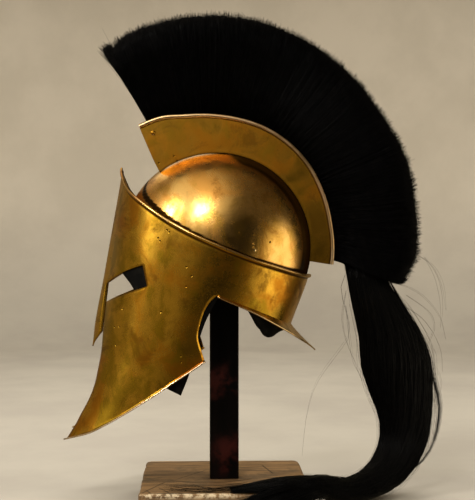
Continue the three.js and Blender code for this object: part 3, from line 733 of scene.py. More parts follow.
def closed_tube(rings, flat):
    """A tube through rings; its flat section is cut into triangles to close both ends."""
    count, corners = rings.shape[:2]
    section = [Vector((float(u), float(v), 0)) for u, v in flat]
    cap = np.array(tessellate_polygon([section]))
    faces = [grid_faces(count, corners, True), cap, cap + (count - 1) * corners]
    return rings.reshape(-1, 3), np.concatenate(faces)


def crest_sweep(start, end, steps, outline):
    """The outline carried along the crest from one place to another, as a closed tube."""
    top = float(crest_outer(CREST["front_top"]))
    flat = [(x, level + hangs * top) for x, level, hangs in outline]
    return closed_tube(crest_rings(np.linspace(start, end, steps + 1), outline), flat)


def joined(meshes):
    """Several meshes as one list of points and faces."""
    first = np.cumsum([0] + [len(points) for points, _ in meshes])
    faces = [faces + start for (_, faces), start in zip(meshes, first)]
    return np.concatenate([points for points, _ in meshes]), np.concatenate(faces)


def face_outward(piece):
    """Closed shells get their faces turned outward."""
    shell = bmesh.new()
    shell.from_mesh(piece.data)
    bmesh.ops.recalc_face_normals(shell, faces=shell.faces)
    shell.to_mesh(piece.data)
    shell.free()
    return piece


def crest_rub_and_shade(points):
    """The bead is bright from rubbing; painted shade lies in the line under it and along the plate's foot."""
    x, y, z = points.T
    y, z = y - BOWL["y"], z - BOWL["z"]
    radius = np.hypot(y, z)
    depth = crest_outer(np.degrees(np.arctan2(z, y))) - radius
    bead = np.clip((np.abs(x) - CREST["half"] - 0.4) / 1.2, 0, 1)
    under = np.exp(-(((depth - 5.2) / 0.9) ** 2)) * (bead < 0.1)
    foot = np.exp(-(((radius - CREST_FLOOR + 2) / 2) ** 2))
    return np.concatenate([points, (0.5 * bead - under - 0.8 * foot)[:, None]], 1)


plate_edge, plate_foot = CREST_INSIDE + CREST["wall"] / 2, CREST_FLOOR + CREST["floor"] / 2
end_outline = [(-plate_edge, plate_foot, 0), (plate_edge, plate_foot, 0),
               (plate_edge, -CREST["wall"] / 2, 1), (-plate_edge, -CREST["wall"] / 2, 1)]
end_deep = CREST["end_plate"]
crest_points, crest_faces = joined([
    crest_sweep(0, 1, CREST["steps"], crest_outline()),
    crest_sweep(0, end_deep, 1, end_outline),
    crest_sweep(1 - end_deep, 1, 1, end_outline),
])
plate_waves = hammer_waves(crest_points * np.array([0, 1, 1]), 5, 80, 24, 0.12)
crest_points[:, 0] += np.sign(crest_points[:, 0]) * plate_waves
crest = face_outward(make_mesh("brass_crest_box", crest_rub_and_shade(crest_points), crest_faces, crest_brass, 35))
crest.data.set_sharp_from_angle(angle=math.radians(35))
dress(crest, "crest_brass", "crest_box")

# %% [markdown]
# Two rivets hold the end of the crest plates. Their solids are right as they are, small domes, so they
# stay and only take the finish. A kept node gets its material in its own slots.

# %% Rivets keep their solids
for name in ("crest_rivet_left", "crest_rivet_right"):
    nodes[name].data.materials.clear()
    nodes[name].data.materials.append(crest_brass)
print("rivets: finish", crest_brass.name)

# %% [markdown]
# Horsehair is near black with a faint sheen along the hair. The plume has three layers here: a dark core
# in the form of the solid, with fine ridges as packed hair has, then thousands of single hairs over it,
# then a few strays. Particle hair would not be part of the exported model, so each hair is a slim
# three-sided prism and a whole layer is one mesh worked out as arrays.


# %% Hair finish and the hair maker
def hair_look(name, shine, dull):
    """Near black in locks of two shades; noise drawn out along the hair varies the shine."""
    look, tree, where = start_look(name)
    locks = clouds(where, 140, 3, 0.6)
    sheen = clouds(stretched(where, (1, 1, 0.2)), 600, 2).between(0.5, 0.75)
    tint = locks.between(0.4, 0.7).blend(colour(0.0006, 0.0005, 0.0005), colour(0.002, 0.0017, 0.0016))
    close_look(tree, Base_Color=tint, Roughness=dull - 0.14 * sheen, Specular_IOR_Level=shine)
    return look


horsehair = hair_look("black_horsehair", 0.05, 0.52)
tail_horsehair = hair_look("shining_horsehair", 0.13, 0.42)


def hairs(name, lines, thick, look=horsehair, tip=0.35):
    """Prisms along lines[hair, station]: three corners a station, thinner to the tip, both ends closed."""
    count, stations = lines.shape[:2]
    ahead = np.gradient(lines, axis=1)
    ahead /= np.maximum(np.linalg.norm(ahead, axis=-1, keepdims=True), 1e-9)
    beside = np.cross(ahead, np.array([0.62, 0.35, 0.7]))
    beside /= np.maximum(np.linalg.norm(beside, axis=-1, keepdims=True), 1e-9)
    over = np.cross(ahead, beside)
    turn = np.arange(3) * 2 * np.pi / 3
    slim = np.linspace(1, tip, stations)[None, :, None, None] * np.asarray(thick).reshape(-1, 1, 1, 1)
    across = beside[:, :, None] * np.cos(turn)[:, None] + over[:, :, None] * np.sin(turn)[:, None]
    points = (lines[:, :, None] + across * slim).reshape(-1, 3)
    one = grid_faces(stations, 3, True)
    ends = np.array([[0, 1, 2], [-1, -2, -3]]) % (stations * 3)
    one = np.concatenate([one[:, ::-1], ends[:, ::-1]])
    faces = (one[None] + (np.arange(count) * stations * 3)[:, None, None]).reshape(-1, 3)
    piece = make_mesh(name, points, faces, look)
    return dress(piece, "hair")


# %% [markdown]
# The brush stands in the crest box and fans out to a clipped edge. A place in it is an angle round the
# bowl, a share across from -1 to 1 and a height from the box to the clipped edge. The hair keeps the
# box's width inside the box, then spreads in width and angle. The core and the hairs share this one
# function.

# %% Brush core
BRUSH_HEIGHT = [(-11.2, 230), (-7, 240), (-2, 246), (6, 248.5), (14, 251), (22, 256), (30, 258.5),
                (39, 260.5), (47, 265), (57, 270.5), (67, 275.5), (80, 281), (92, 283), (104, 282.5),
                (112, 281.5), (115, 279.5), (117, 275.5), (119.3, 272)]
BRUSH = {"root_half": 20.5, "tip_half": 36, "root": (-6, 119), "tip": (-11.2, 119.2), "shoulder": 12,
         "flat": 0.72, "spread": 1.27, "fan": 1.8}
BRUSH_CORE = {"seed": 11, "steps": 240, "side": 22, "top": 26, "inset": 4.0, "ridge": 0.016, "lump": 0.7}
BRUSH_SEAT = CREST_FLOOR + CREST["floor"] + GAP
brush_outer = reading(BRUSH_HEIGHT)


def in_brush(place, across, height, inset=0.0):
    """place 0 to 1 from rear to front, across -1 to 1, height 0 at the seat, 1 at the clipped edge."""
    place, across, height = np.broadcast_arrays(place, across, height)
    root = BRUSH["root"][0] + (BRUSH["root"][1] - BRUSH["root"][0]) * place
    tip = BRUSH["tip"][0] + (BRUSH["tip"][1] - BRUSH["tip"][0]) * place
    round_off = np.clip((np.abs(across) - BRUSH["flat"]) / (1 - BRUSH["flat"]), 0, 1.2) ** 2
    outer = brush_outer(tip) - BRUSH["shoulder"] * round_off - inset
    radius = BRUSH_SEAT + (outer - BRUSH_SEAT) * height
    mouth = crest_outer(root) + 5
    share = np.clip((radius - mouth) / (brush_outer(tip) - BRUSH["shoulder"] - mouth), 0, 1)
    widening = 1 - (1 - share) ** BRUSH["spread"]
    half = BRUSH["root_half"] + (BRUSH["tip_half"] - BRUSH["root_half"]) * widening
    degrees = root + (tip - root) * (1 - (1 - share) ** BRUSH["fan"])
    return around_bowl(across * (half - 0.5 * inset), degrees, radius)


def brush_core():
    """A loop round the section, up one side, over the top and down the other, carried from rear to front."""
    c = BRUSH_CORE
    rng = np.random.default_rng(c["seed"])
    side, top = np.linspace(0.02, 0.97, c["side"]), np.linspace(1, -1, c["top"])
    across = np.concatenate([np.ones(c["side"]), top, -np.ones(c["side"])])
    height = np.concatenate([side, np.ones(c["top"]), side[::-1]])
    place = np.linspace(0.006, 0.994, c["steps"])
    rings = in_brush(place[:, None], across[None, :], height[None, :], c["inset"])
    ridge = 1 + c["ridge"] * rng.normal(size=(c["steps"], 1)) * height[None, :]
    lump = rng.normal(size=(c["steps"], len(across))) * c["lump"] * (height == 1)[None, :]
    rings[..., 0] *= ridge
    away = rings - np.array([0, BOWL["y"], BOWL["z"]])
    away[..., 0] = 0
    rings += lump[..., None] * away / np.linalg.norm(away, axis=-1, keepdims=True)
    return closed_tube(rings, np.stack([across * (1 + height), height], 1))


core = face_outward(make_mesh("plume_brush_core", *brush_core(), horsehair))
dress(core, "hair", "plume")

# %% [markdown]
# The clipped edge is what makes it read as a brush: thousands of short ends, not quite level, in lumps
# where the shears passed. They stand on the core's top. The sides show whole hairs from the box outward,
# and at the front and rear ends the fan of hair is seen edge on.


# %% Brush hairs
def clipped(rng, place, across):
    """How far each end stands above or below the clipped edge: long lumps, tufts and a fine unevenness."""
    lumps = np.sin(place * 61 + 2.1) * np.sin(across * 4 + place * 143) * 1.1
    tufts = np.sin(place * 331 + across * 7) * np.sin(place * 207 + 1) * (1.8 - 1.2 * place)
    return lumps + tufts - 0.4 + rng.normal(size=place.shape) * 1.1


def brush_lines(rng, place, across, low, stations, over):
    """Hairs from a low height to the clipped edge, each with a slight bend of its own."""
    height = low[:, None] + (1 - low[:, None]) * np.linspace(0, 1, stations)[None, :]
    lines = in_brush(place[:, None], across[:, None], height)
    away = lines - np.array([0, BOWL["y"], BOWL["z"]])
    away[..., 0] = 0
    length = np.linalg.norm(away, axis=-1, keepdims=True)
    lines = lines + away / length * (over[:, None] * height**3)[..., None]
    bend = rng.normal(size=(len(place), 1, 3)) * np.array([1.1, 1.3, 1.3])
    return lines + bend * (np.linspace(0, 1, stations) ** 2)[None, :, None]


BRUSH_HAIRS = {"crown": 8400, "side": 3600, "ends": 2400}
SIDE_STATIONS = 5
hair_rng = np.random.default_rng(2024)
for half, first in (("rear", 0.0), ("front", 0.5)):
    count = BRUSH_HAIRS["crown"]
    place = first + 0.5 * hair_rng.random(count)
    across = hair_rng.uniform(-1.0, 1.0, count)
    lines = brush_lines(hair_rng, place, across, np.full(count, 0.83), 3, clipped(hair_rng, place, across))
    hairs(f"plume_crown_hair_{half}", lines, hair_rng.uniform(0.22, 0.4, count))
for side, sign in (("left", 1), ("right", -1)):
    count = BRUSH_HAIRS["side"]
    place = hair_rng.random(count)
    across = sign * hair_rng.uniform(0.9, 1.02, count)
    lines = brush_lines(hair_rng, place, across, hair_rng.uniform(0.2, 0.45, count), SIDE_STATIONS,
                        clipped(hair_rng, place, across))
    hairs(f"plume_{side}_hair", lines, hair_rng.uniform(0.25, 0.45, count))
count = BRUSH_HAIRS["ends"]
at_rear, at_front = hair_rng.uniform(0, 0.012, count), hair_rng.uniform(0.988, 1, count)
place = np.where(np.arange(count) % 2 == 0, at_rear, at_front)
across = hair_rng.uniform(-1, 1, count)
in_front = place > 0.5
over = clipped(hair_rng, place, across) + np.where(in_front, hair_rng.exponential(1.6, count), 0)
lines = brush_lines(hair_rng, place, across, hair_rng.uniform(0.25, 0.5, count), SIDE_STATIONS, over)
curl = np.where(in_front, hair_rng.exponential(2.4, count), hair_rng.exponential(0.8, count) * -1)
lines[..., 1] -= curl[:, None] * np.linspace(0, 1, SIDE_STATIONS)[None, :] ** 4
hairs("plume_end_hair", lines, hair_rng.uniform(0.22, 0.4, count))

# %% [markdown]
# Behind the box the longest hair is gathered into a tail that swells, falls to the floor and lies over
# the corner of the board. Its middle line is a row of measured points with a half width across and along.
# A hair in it keeps its own place in the section and winds slowly round. Where it meets the floor or the
# board it lies on top.

# %% Tail
TAIL = [(0, 158, 302, 16, 11), (0, 172, 274, 21, 20), (0, 185, 238, 25, 26), (0, 201, 202, 27, 34),
        (0, 212, 164, 28, 41), (0, 219, 132, 28, 38), (2, 224, 96, 27, 31), (8, 219, 62, 26, 27),
        (22, 200, 34, 25, 22), (44, 170, 19, 22, 16), (62, 136, 16, 20, 13), (78, 104, 26, 18, 11),
        (87, 68, 30, 16, 8), (91, 34, 27.5, 12, 5.5), (93, 4, 24.5, 6, 2.5)]
TAIL_TURNS = 0.35
TAIL_CORE = {"seed": 5, "sides": 96, "steps": 180}
TAIL_HAIRS = {"count": 800, "stations": 22}
FLOOR_LIFT, BOARD_RAMP = 0.7, 13
BASE = {"side": 200, "thick": 22, "corner": 9, "edge": 3}
tail_places = np.linspace(0, 1, len(TAIL))
tail_path = smooth_path([row[:3] for row in TAIL], 30)
tail_half = [reading([(p, row[k]) for p, row in zip(tail_places, TAIL)]) for k in (3, 4)]


def rest_height(points):
    """The height that carries hair: the floor, rising to the board's top just before its edge."""
    out = np.maximum(np.abs(points[..., 0]), np.abs(points[..., 1])) - BASE["side"] / 2
    rise = np.clip(1 - out / BOARD_RAMP, 0, 1)
    return FLOOR_LIFT + BASE["thick"] * rise**2 * (3 - 2 * rise)


def in_tail(place, share, turn):
    """The tail's middle line plus share of its half widths at that turn, kept above what carries it."""
    place, share, turn = np.broadcast_arrays(place, share, turn)
    at = np.clip(place, 0, 1) * (len(tail_path) - 1)
    spread = np.arange(len(tail_path))
    middle = np.stack([np.interp(at, spread, tail_path[:, k]) for k in range(3)], -1)
    way = np.gradient(tail_path, axis=0)
    ahead = np.stack([np.interp(at, spread, way[:, k]) for k in range(3)], -1)
    ahead /= np.linalg.norm(ahead, axis=-1, keepdims=True)
    sideways = np.array([1.0, 0, 0]) - ahead * ahead[..., :1]
    sideways /= np.linalg.norm(sideways, axis=-1, keepdims=True)
    upright = np.cross(ahead, sideways)
    wind = turn + 2 * np.pi * TAIL_TURNS * place
    wide = (share * tail_half[0](place) * np.cos(wind))[..., None]
    deep = (share * tail_half[1](place) * np.sin(wind))[..., None]
    points = middle + sideways * wide + upright * deep
    points[..., 2] = np.maximum(points[..., 2], rest_height(points))
    return points


def tail_core():
    """A tube of ridged section: the ridges keep their place in the hair and so wind with it."""
    rng = np.random.default_rng(TAIL_CORE["seed"])
    turn = np.linspace(0, 2 * np.pi, TAIL_CORE["sides"] + 1)[:-1]
    ridges = 0.93 + 0.05 * rng.uniform(-1, 1, TAIL_CORE["sides"])
    place = np.linspace(0.0, 0.99, TAIL_CORE["steps"])
    return closed_tube(in_tail(place[:, None], ridges[None, :], turn[None, :]),
                       np.stack([np.cos(turn), np.sin(turn)], 1))


tail = face_outward(make_mesh("plume_tail_core", *tail_core(), horsehair))
dress(tail, "hair", "plume")


def tail_lines(rng, count, stations, share, start, end, wander):
    """Hairs along the tail: each has its own share and turn, which drift a little on the way."""
    place = start[:, None] + (end - start)[:, None] * np.linspace(0, 1, stations)[None, :]
    turn = rng.uniform(0, 2 * np.pi, (count, 1))
    waves = rng.uniform(0, 2 * np.pi, (2, count, 1))
    rate = rng.uniform(4, 11, (2, count, 1))
    drift = np.sin(place * rate[0] + waves[0]) * wander[:, None]
    sway = np.sin(place * rate[1] + waves[1]) * 0.12
    return in_tail(place, share[:, None] + drift, turn + sway)


for number in (1, 2):
    count = TAIL_HAIRS["count"]
    share = np.sqrt(hair_rng.uniform(0.8, 1.06, count))
    start, end = hair_rng.uniform(0, 0.05, count), hair_rng.uniform(0.82, 1.0, count)
    lines = tail_lines(hair_rng, count, TAIL_HAIRS["stations"], share, start, end, np.full(count, 0.035))
    hairs(f"plume_tail_hair_{number}", lines, hair_rng.uniform(0.35, 0.6, count), tail_horsehair)

# %% [markdown]
# A tail that was combed once and then stood in a room has strays: a loose lock beside it and single fine
# hairs that have sprung away. They are few, so each is measured as a short row of points and given small
# copies.

# %% Stray hairs
LOOSE_LOCK = [(4, 203, 265), (5, 230, 217), (6, 247, 183), (6, 256, 151), (6, 265, 118), (6, 266, 100),
              (6, 263, 77), (6, 255, 55), (8, 243, 39), (14, 222, 26)]
STRAYS = [
    [(4, 149, 270), (6, 143, 251), (8, 150, 220), (8, 153, 198), (10, 143, 182), (12, 112, 139),
     (12, 100, 99), (12, 95, 48)],
    [(4, 150, 232), (6, 153, 198), (8, 159, 161), (6, 177, 133)],
    [(4, 225, 245), (10, 252, 225), (12, 258, 205), (10, 250, 180), (8, 258, 140)],
    [(4, 248, 292), (10, 262, 268), (12, 268, 236), (12, 266, 205)],
    [(-6, 152, 250), (-10, 148, 215), (-10, 156, 180), (-6, 172, 145)],
    [(-4, 206, 262), (-8, 236, 216), (-10, 252, 170), (-8, 250, 130)],
    [(2, 205, 262), (6, 240, 250), (8, 266, 222), (6, 274, 190)],
    [(0, 214, 236), (4, 246, 214), (6, 266, 180), (4, 270, 150)],
    [(2, 222, 200), (6, 252, 170), (6, 268, 140), (4, 262, 104)],
    [(-2, 232, 160), (0, 256, 130), (2, 264, 96), (4, 252, 62)],
    [(3, 236, 296), (6, 258, 282), (8, 270, 258), (8, 274, 226)],
    [(0, 226, 120), (4, 250, 92), (6, 254, 66), (8, 240, 44)],
]


def loose_hairs(row, count, stations, spread, rng):
    """Copies of a measured row of points, each moved a little more towards its middle."""
    path = along(row, stations - 1)
    swell = np.sin(np.linspace(0.15, np.pi - 0.1, stations))[None, :, None]
    lines = path[None] + rng.normal(size=(count, 1, 3)) * spread * swell
    lines[..., 2] = np.maximum(lines[..., 2], rest_height(lines))
    return lines


LOCK_HAIRS, FLYAWAYS, STRAY_STATIONS = 34, 230, 16
lock = loose_hairs(LOOSE_LOCK, LOCK_HAIRS, 20, 1.8, hair_rng)
hairs("plume_loose_lock", lock, hair_rng.uniform(0.14, 0.26, LOCK_HAIRS))
strays = np.concatenate([loose_hairs(row, 2, STRAY_STATIONS, 1.5, hair_rng) for row in STRAYS])
ranges = ((1.0, 1.1), (0.02, 0.4), (0.45, 0.85), (0.04, 0.22))
share, start, end, wander = (hair_rng.uniform(low, high, FLYAWAYS) for low, high in ranges)
fly = tail_lines(hair_rng, FLYAWAYS, STRAY_STATIONS, share, start, end, wander)
hairs("plume_strays", np.concatenate([strays, fly]), hair_rng.uniform(0.1, 0.17, len(strays) + FLYAWAYS))

# %% [markdown]
# The tail's end does not stop on the board. Part of it slides over the near edge and hangs to the floor,
# and a few hairs lie across the board's top. Both are blends between measured rows, one random share for
# each hair.

# %% Draped end of the tail
DRAPE = [
    [(40, 160, 21), (70, 124, 30), (94, 88, 32), (105, 52, 25), (110, 22, 11), (111, 0, 3)],
    [(46, 152, 18), (76, 112, 34), (99, 72, 29), (107, 36, 19), (111, 8, 8), (112, -14, 2)],
    [(44, 166, 14), (72, 134, 18), (100, 106, 16), (110, 78, 8), (112, 44, 3), (112, 16, 2)],
]
BOARD_HAIRS = [
    [(88, 30, 27), (93, 0, 24), (96, -30, 23), (90, -62, 23)],
    [(86, 22, 27), (88, -12, 24), (80, -44, 23), (62, -70, 23)],
    [(92, 12, 26), (97, -20, 24), (99, -52, 22), (103, -74, 14)],
    [(84, 36, 28), (76, 4, 24), (52, -30, 23), (40, -66, 23)],
]
DRAPED, ON_BOARD = 800, 36


def blended_rows(rows, count, stations, spread, rng):
    """Hairs part of the way from one measured row to the next, each a little off."""
    paths = np.stack([along(row, stations - 1) for row in rows])
    at = rng.uniform(0, len(rows) - 1.001, count)
    first = at.astype(int)
    share = (at - first)[:, None, None]
    lines = paths[first] * (1 - share) + paths[first + 1] * share
    lines = lines + rng.normal(size=(count, 1, 3)) * spread
    lines = lines + rng.normal(size=(count, 1, 3)) * spread * np.linspace(0, 1, stations)[None, :, None] ** 2
    lines[..., 2] = np.maximum(lines[..., 2], rest_height(lines))
    return lines


draped = blended_rows(DRAPE, DRAPED, 14, 1.6, hair_rng)
hairs("plume_draped_hair", draped, hair_rng.uniform(0.4, 0.7, DRAPED), tail_horsehair)
on_board = blended_rows(BOARD_HAIRS, ON_BOARD, 16, 3.0, hair_rng)
hairs("plume_board_hair", on_board, hair_rng.uniform(0.14, 0.24, ON_BOARD))

# %% [markdown]
# The post is square lacquered wood, nearly black, with red in two patches that is painted reddish highlight
# as well as the red of the wood showing through; its solid is right and stays. The board is older and worn:
# brown grain, dark scratches, and a pale broken strip along the near upper edge that is worn varnish and
# painted highlight. A cube with a bevel would have one even edge all round, so the board is a rounded square
# carried up a profile, with the edge worn unevenly.


# %% Wood finishes
POST_RED_PATCHES = [(17.5, -9, 140), (17.5, 8, 52)]


def lacquer_look():
    """Black over upright grain; red in two patches, painted reddish highlight over the red of the wood
    showing through.
    """
    look, tree, where = start_look("black_lacquer")
    grain = clouds(stretched(where, (1, 1, 0.08)), 160, 4, 0.6, 0.4)
    # Red patches on the near face: painted reddish highlight, with the wood's red showing through.
    rub_and_highlight = spots(where, POST_RED_PATCHES, 34) * clouds(where, 40, 4, 0.6).between(0.42, 0.62)
    tint = grain.between(0.35, 0.7).blend(colour(0.001, 0.0007, 0.0007), colour(0.004, 0.0018, 0.0015))
    tint = (rub_and_highlight * 0.85).blend(tint, colour(0.05, 0.007, 0.005))
    rough = 0.3 + 0.12 * rub_and_highlight + 0.08 * grain
    close_look(tree, Base_Color=tint, Roughness=rough, Specular_IOR_Level=0.12, Coat_Weight=0.03,
               Coat_Roughness=0.25, Normal=relief(grain, 0.12))
    return look


SCRATCHES = [((60, -80), (98, -62)), ((40, -42), (86, -14)), ((72, -94), (99, -84)), ((30, -70), (96, -98)),
             ((84, -30), (99, 4)), ((-40, -20), (20, -60)), ((-70, 50), (-10, 62))]


def board_look():
    """Brown grain along Y with dirt in clouds; each scratch is dark near its line, and the near upper edge
    has a pale broken strip, worn varnish and painted highlight.
    """
    look, tree, where = start_look("worn_board")
    x, y, z = (where.node("ShaderNodeSeparateXYZ", {}, {"Vector": where}, k) for k in range(3))
    grain = clouds(stretched(where, (1, 0.07, 1)), 210, 5, 0.65, 0.8)
    rings = clouds(stretched(where, (1, 0.16, 1)), 46, 3, 0.5, 1.2)
    dirt = clouds(where, 30, 5, 0.65).between(0.5, 0.7)
    chips = clouds(where, 130, 4, 0.7)
    cuts = None
    for (x0, y0), (x1, y1) in SCRATCHES:
        long = math.hypot(x1 - x0, y1 - y0)
        u, v = (x1 - x0) / long, (y1 - y0) / long
        off = abs((x - x0 * MM) * v - (y - y0 * MM) * u + 0.0016 * (chips - 0.5))
        run = (x - x0 * MM) * u + (y - y0 * MM) * v
        cut = off.between(0.0011, 0.0004) * run.between(0, 0.01) * run.between(long * MM, (long - 10) * MM)
        cuts = cut if cuts is None else cuts.either(cut)
    # Only the near upper edge: a pale broken strip that is worn varnish and painted highlight.
    edge = x.between(0.093, 0.098) * z.between(0.015, 0.02) * y.between(0.04, 0.0)
    worn_edge_and_highlight = edge * (chips + 0.2 * grain).between(0.52, 0.66)
    figure = (0.6 * grain + 0.4 * rings).between(0.32, 0.68)
    tint = figure.blend(colour(0.075, 0.042, 0.02), colour(0.34, 0.19, 0.075))
    tint = (dirt * 0.6).blend(tint, colour(0.1, 0.075, 0.045))
    tint = (worn_edge_and_highlight * 0.85).blend(tint, colour(0.72, 0.58, 0.38))
    tint = (cuts * 0.9).blend(tint, colour(0.018, 0.01, 0.006))
    rough = 0.46 + 0.2 * dirt + 0.1 * grain - 0.12 * worn_edge_and_highlight
    height = 0.5 * grain + 0.3 * rings - 0.9 * cuts - 0.5 * worn_edge_and_highlight
    close_look(tree, Base_Color=tint, Roughness=rough, Specular_IOR_Level=0.4, Normal=relief(height, 0.5))
    return look


lacquer, worn_board = lacquer_look(), board_look()
nodes["stand_post"].data.materials.clear()
nodes["stand_post"].data.materials.append(lacquer)
print("post: finish", lacquer.name)


# %% Board
BOARD_SIDES = 320
# depth, how many times round and phase of the waves in the worn upper edge
EDGE_WAVES = [(0.55, 9, 1), (0.45, 23, 0), (0.3, 57, 2)]


def rounded_square(half, corner, around):
    """The outline at a share of the way around: straight sides joined by quarter circles."""
    quarter = np.floor(around * 4)
    t = around * 4 - quarter
    flat = half - corner
    sweep = np.clip((t - 0.25) / 0.5, 0, 1) * np.pi / 2 - np.pi / 4
    slide = (np.clip(t / 0.25, 0, 1) - 1 + np.clip((t - 0.75) / 0.25, 0, 1))
    diagonal = np.pi / 4 + sweep
    u = flat + corner * np.cos(diagonal) + np.minimum(-slide, 0) * flat
    v = flat + corner * np.sin(diagonal) + np.minimum(slide, 0) * flat
    turn = quarter * np.pi / 2
    return u * np.cos(turn) - v * np.sin(turn), u * np.sin(turn) + v * np.cos(turn)


def board_sheet():
    """The outline drawn in and lifted along a profile: under, round the lower edge, side, upper edge, top."""
    high, edge = BASE["thick"], BASE["edge"]
    bend = np.linspace(0, np.pi / 2, 7)
    low = [(edge - edge * math.sin(t), edge - edge * math.cos(t)) for t in bend]
    top = [(edge - edge * math.cos(t), high - edge + edge * math.sin(t)) for t in bend]
    inward = [(edge + k, high) for k in (3, 8, 20, 40, 65, 96.9)]
    profile = np.array([(99.9, 0), (60, 0), (20, 0), *low, *top, *inward])
    around = np.linspace(0, 1, BOARD_SIDES + 1)
    inset, level = profile[:, :1], profile[:, 1:]
    wave = sum(deep * np.sin(around * 2 * np.pi * times + phase) for deep, times, phase in EDGE_WAVES)
    near_edge = np.exp(-(((inset - 1.2) / 2.2) ** 2)) * (level > high - 2 * edge)
    inset = inset + near_edge * np.clip(wave, -0.6, 1)[None, :] * 0.9
    half = BASE["side"] / 2 - inset
    x, y = rounded_square(half, np.maximum(np.minimum(BASE["corner"], half * 0.9), 0.01), around[None, :])
    return np.stack([x, y, np.broadcast_to(level, x.shape)], -1)


board = face_outward(make_mesh("worn_base_board", *weld([board_sheet()]), worn_board, 50))
dress(board, "base_wood", "stand_base")

# %% [markdown]
# The stage is a plain pale floor that turns up into a wall all round, with no line between them. It is
# far enough away that a camera on any side stays inside. It belongs to the picture and not to the object.

# %% Floor and wall in one sweep
COVE = {"flat": 2000, "wall": 2700, "bend": 700, "high": 3200}


def cove_sheet():
    """A profile turned about Z: flat floor, quarter circle, upright wall."""
    bend = np.linspace(0, np.pi / 2, 24)
    turned_up = COVE["flat"] + COVE["bend"] * np.sin(bend)
    radius = np.concatenate([[0.01, 300, 900, 1500], turned_up, [COVE["wall"]]])
    level = np.concatenate([np.zeros(4), COVE["bend"] * (1 - np.cos(bend)), [COVE["high"]]])
    turn = np.linspace(0, 2 * np.pi, 121)[None, :]
    x, y = radius[:, None] * np.cos(turn), radius[:, None] * np.sin(turn)
    return np.stack([x, y, np.broadcast_to(level[:, None], x.shape)], -1)


def plaster_look():
    """Mottled plaster, a little darker on the floor, which the lamps light more."""
    look, tree, where = start_look("pale_plaster")
    height = where.node("ShaderNodeSeparateXYZ", {}, {"Vector": where}, "Z")
    mottled = clouds(where, 3.5, 5, 0.6)
    wall = mottled.between(0.35, 0.65).blend(colour(0.57, 0.515, 0.425), colour(0.63, 0.57, 0.475))
    floor = mottled.between(0.35, 0.65).blend(colour(0.395, 0.36, 0.31), colour(0.44, 0.405, 0.345))
    tint = height.between(0.0, 0.6).blend(floor, wall)
    close_look(tree, Base_Color=tint, Roughness=0.9, Specular_IOR_Level=0.1)
    return look


cove_points, cove_faces = weld([cove_sheet()])
cove = make_mesh("stage_cove", cove_points, cove_faces[:, ::-1], plaster_look())
print("stage:", cove.name)

# %% [markdown]
# Brass shows what is around it, so the light is set by what each part of the bowl should mirror. A tent
# round the stage is dim, with a broad bright patch high on the left and a dark one in front, and stands
# for the room. Two small soft windows give the bowl's bright spots. Three broad washes light the hair,
# the wood and the floor, and the brass does not mirror them. The tent is seen only in reflections, not by
# the camera or the floor.

# %% Lamps and tent
MIDDLE = Vector((0, 0, 0.32))
# turn from +X towards +Y and height in degrees, distance and size in metres, power in watts, colour, mirrored
LAMPS = {
    "window_left": (-55, 34, 1.85, (0.34, 0.44), 12, (1.0, 0.97, 0.92), True),
    "window_high": (-18, 36, 1.85, (0.38, 0.48), 11, (1.0, 0.97, 0.92), True),
    "wash_front": (-70, 50, 1.9, (1.2, 1.2), 17, (1.0, 0.96, 0.86), False),
    "wash_right": (75, 40, 1.9, (1.2, 1.2), 16, (1.0, 0.95, 0.84), False),
    "wash_back": (180, 62, 2.1, (1.6, 1.6), 34, (1.0, 0.96, 0.88), False),
}
TENT = {"radius": 2000, "floor": 3, "dim": (0.22, 0.175, 0.1)}
# turn and height of the middle, then the angles where it is full and where it ends, in degrees, and its glow
TENT_PATCHES = [
    (62, 32, 28, 62, (0.075, 0.06, 0.04)), (-38, 46, 22, 49, (0.85, 0.78, 0.64)),
    (26, 10, 10, 30, (0.006, 0.005, 0.003)), (8, -8, 13, 37, (0.008, 0.006, 0.004)),
    (72, -8, 16, 34, (1.6, 1.4, 1.05)), (-64, 15, 5, 15, (2.2, 2.0, 1.6)),
    (-150, 47, 8, 26, (1.2, 1.05, 0.85)),
]
TENT_GRID = {"rows": 30, "sides": 72}
ROOM = {"tint": (0.95, 0.88, 0.75), "strength": 0.35}


def toward(turn, height, distance):
    """The point at that turn, height and distance from the helmet's middle."""
    a, e = math.radians(turn), math.radians(height)
    return MIDDLE + distance * Vector((math.cos(e) * math.cos(a), math.cos(e) * math.sin(a), math.sin(e)))


for name, (turn, height, distance, size, power, tint, mirrored_in_brass) in LAMPS.items():
    lamp = bpy.data.lights.new(name, "AREA")
    lamp.shape = "RECTANGLE"
    lamp.size, lamp.size_y = size
    lamp.energy = power
    lamp.color = tint
    holder = bpy.data.objects.new(name, lamp)
    scene.collection.objects.link(holder)
    holder.location = toward(turn, height, distance)
    holder.rotation_euler = (MIDDLE - holder.location).to_track_quat("-Z", "Y").to_euler()
    holder.visible_camera = False
    holder.visible_glossy = mirrored_in_brass
print("lamps:", ", ".join(LAMPS))


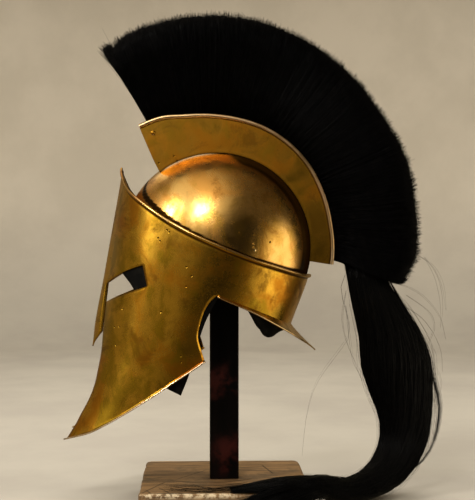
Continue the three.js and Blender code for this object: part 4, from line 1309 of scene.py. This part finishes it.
def tent_look():
    """A dim glow, with each patch blended in by its angle as seen from the helmet's middle."""
    look, tree, where = start_look("tent_cloth")
    offset = where.node("ShaderNodeVectorMath", {"operation": "SUBTRACT"}, {0: where, 1: tuple(MIDDLE)})
    way = offset.node("ShaderNodeVectorMath", {"operation": "NORMALIZE"}, {0: offset})
    glow = colour(*TENT["dim"])
    for turn, height, full, end, bright in TENT_PATCHES:
        middle = tuple(toward(turn, height, 1) - MIDDLE)
        apart = way.node("ShaderNodeVectorMath", {"operation": "DISTANCE"}, {0: way, 1: middle}, "Value")
        chords = [2 * math.sin(math.radians(angle) / 2) for angle in (end, full)]
        glow = apart.between(*chords).blend(glow, colour(*bright))
    close_look(tree, Base_Color=colour(0, 0, 0), Specular_IOR_Level=0.0, Emission_Color=glow,
               Emission_Strength=1.0)
    return look


def tent_sheets():
    """A sphere round the helmet's middle, down to the floor, and a disc just above the floor."""
    radius, level = TENT["radius"], TENT["floor"]
    lowest = math.asin((MIDDLE.z / MM - level) / radius)
    e = np.linspace(-lowest, np.pi / 2, TENT_GRID["rows"] + 1)[:, None]
    turn = np.linspace(0, 2 * np.pi, TENT_GRID["sides"] + 1)[None, :]
    out = radius * np.cos(e)
    x, y = out * np.cos(turn), out * np.sin(turn)
    dome = np.stack([x, y, np.broadcast_to(MIDDLE.z / MM + radius * np.sin(e), x.shape)], -1)
    ring = np.array([0.01, 300, 900, 1900])[:, None]
    x, y = ring * np.cos(turn), ring * np.sin(turn)
    disc = np.stack([x, y, np.full(x.shape, float(level))], -1)
    return [dome, disc[::-1]]


tent = make_mesh("stage_tent", *weld(tent_sheets()), tent_look())
for kind in ("camera", "shadow", "diffuse"):
    setattr(tent, "visible_" + kind, False)
print("tent:", len(tent.data.polygons), "faces")
world = bpy.data.worlds.new("room")
scene.world = world
world.use_nodes = True
background = world.node_tree.nodes["Background"]
background.inputs["Color"].default_value = colour(*ROOM["tint"])
background.inputs["Strength"].default_value = ROOM["strength"]

# %% [markdown]
# The camera looks level from the helmet's left side, turned two degrees towards its back, with a long
# lens so that near and far pieces keep their sizes. The plain sRGB view keeps blacks black, as brass and
# horsehair need.

# %% Camera
VIEW_TURN = math.radians(2)
VIEW_FROM = (1.3492, -0.0305, 0.3006)
VIEW_LENS, VIEW_SENSOR = 78.84, 36
lens = bpy.data.cameras.new("side_view")
lens.lens = VIEW_LENS
lens.sensor_width = VIEW_SENSOR
camera = bpy.data.objects.new("side_view", lens)
scene.collection.objects.link(camera)
camera.location = VIEW_FROM
view_way = Vector((-math.cos(VIEW_TURN), math.sin(VIEW_TURN), 0))
camera.rotation_euler = view_way.to_track_quat("-Z", "Y").to_euler()
scene.camera = camera
scene.view_settings.view_transform = "Standard"
print("camera at", tuple(round(v, 4) for v in camera.location))
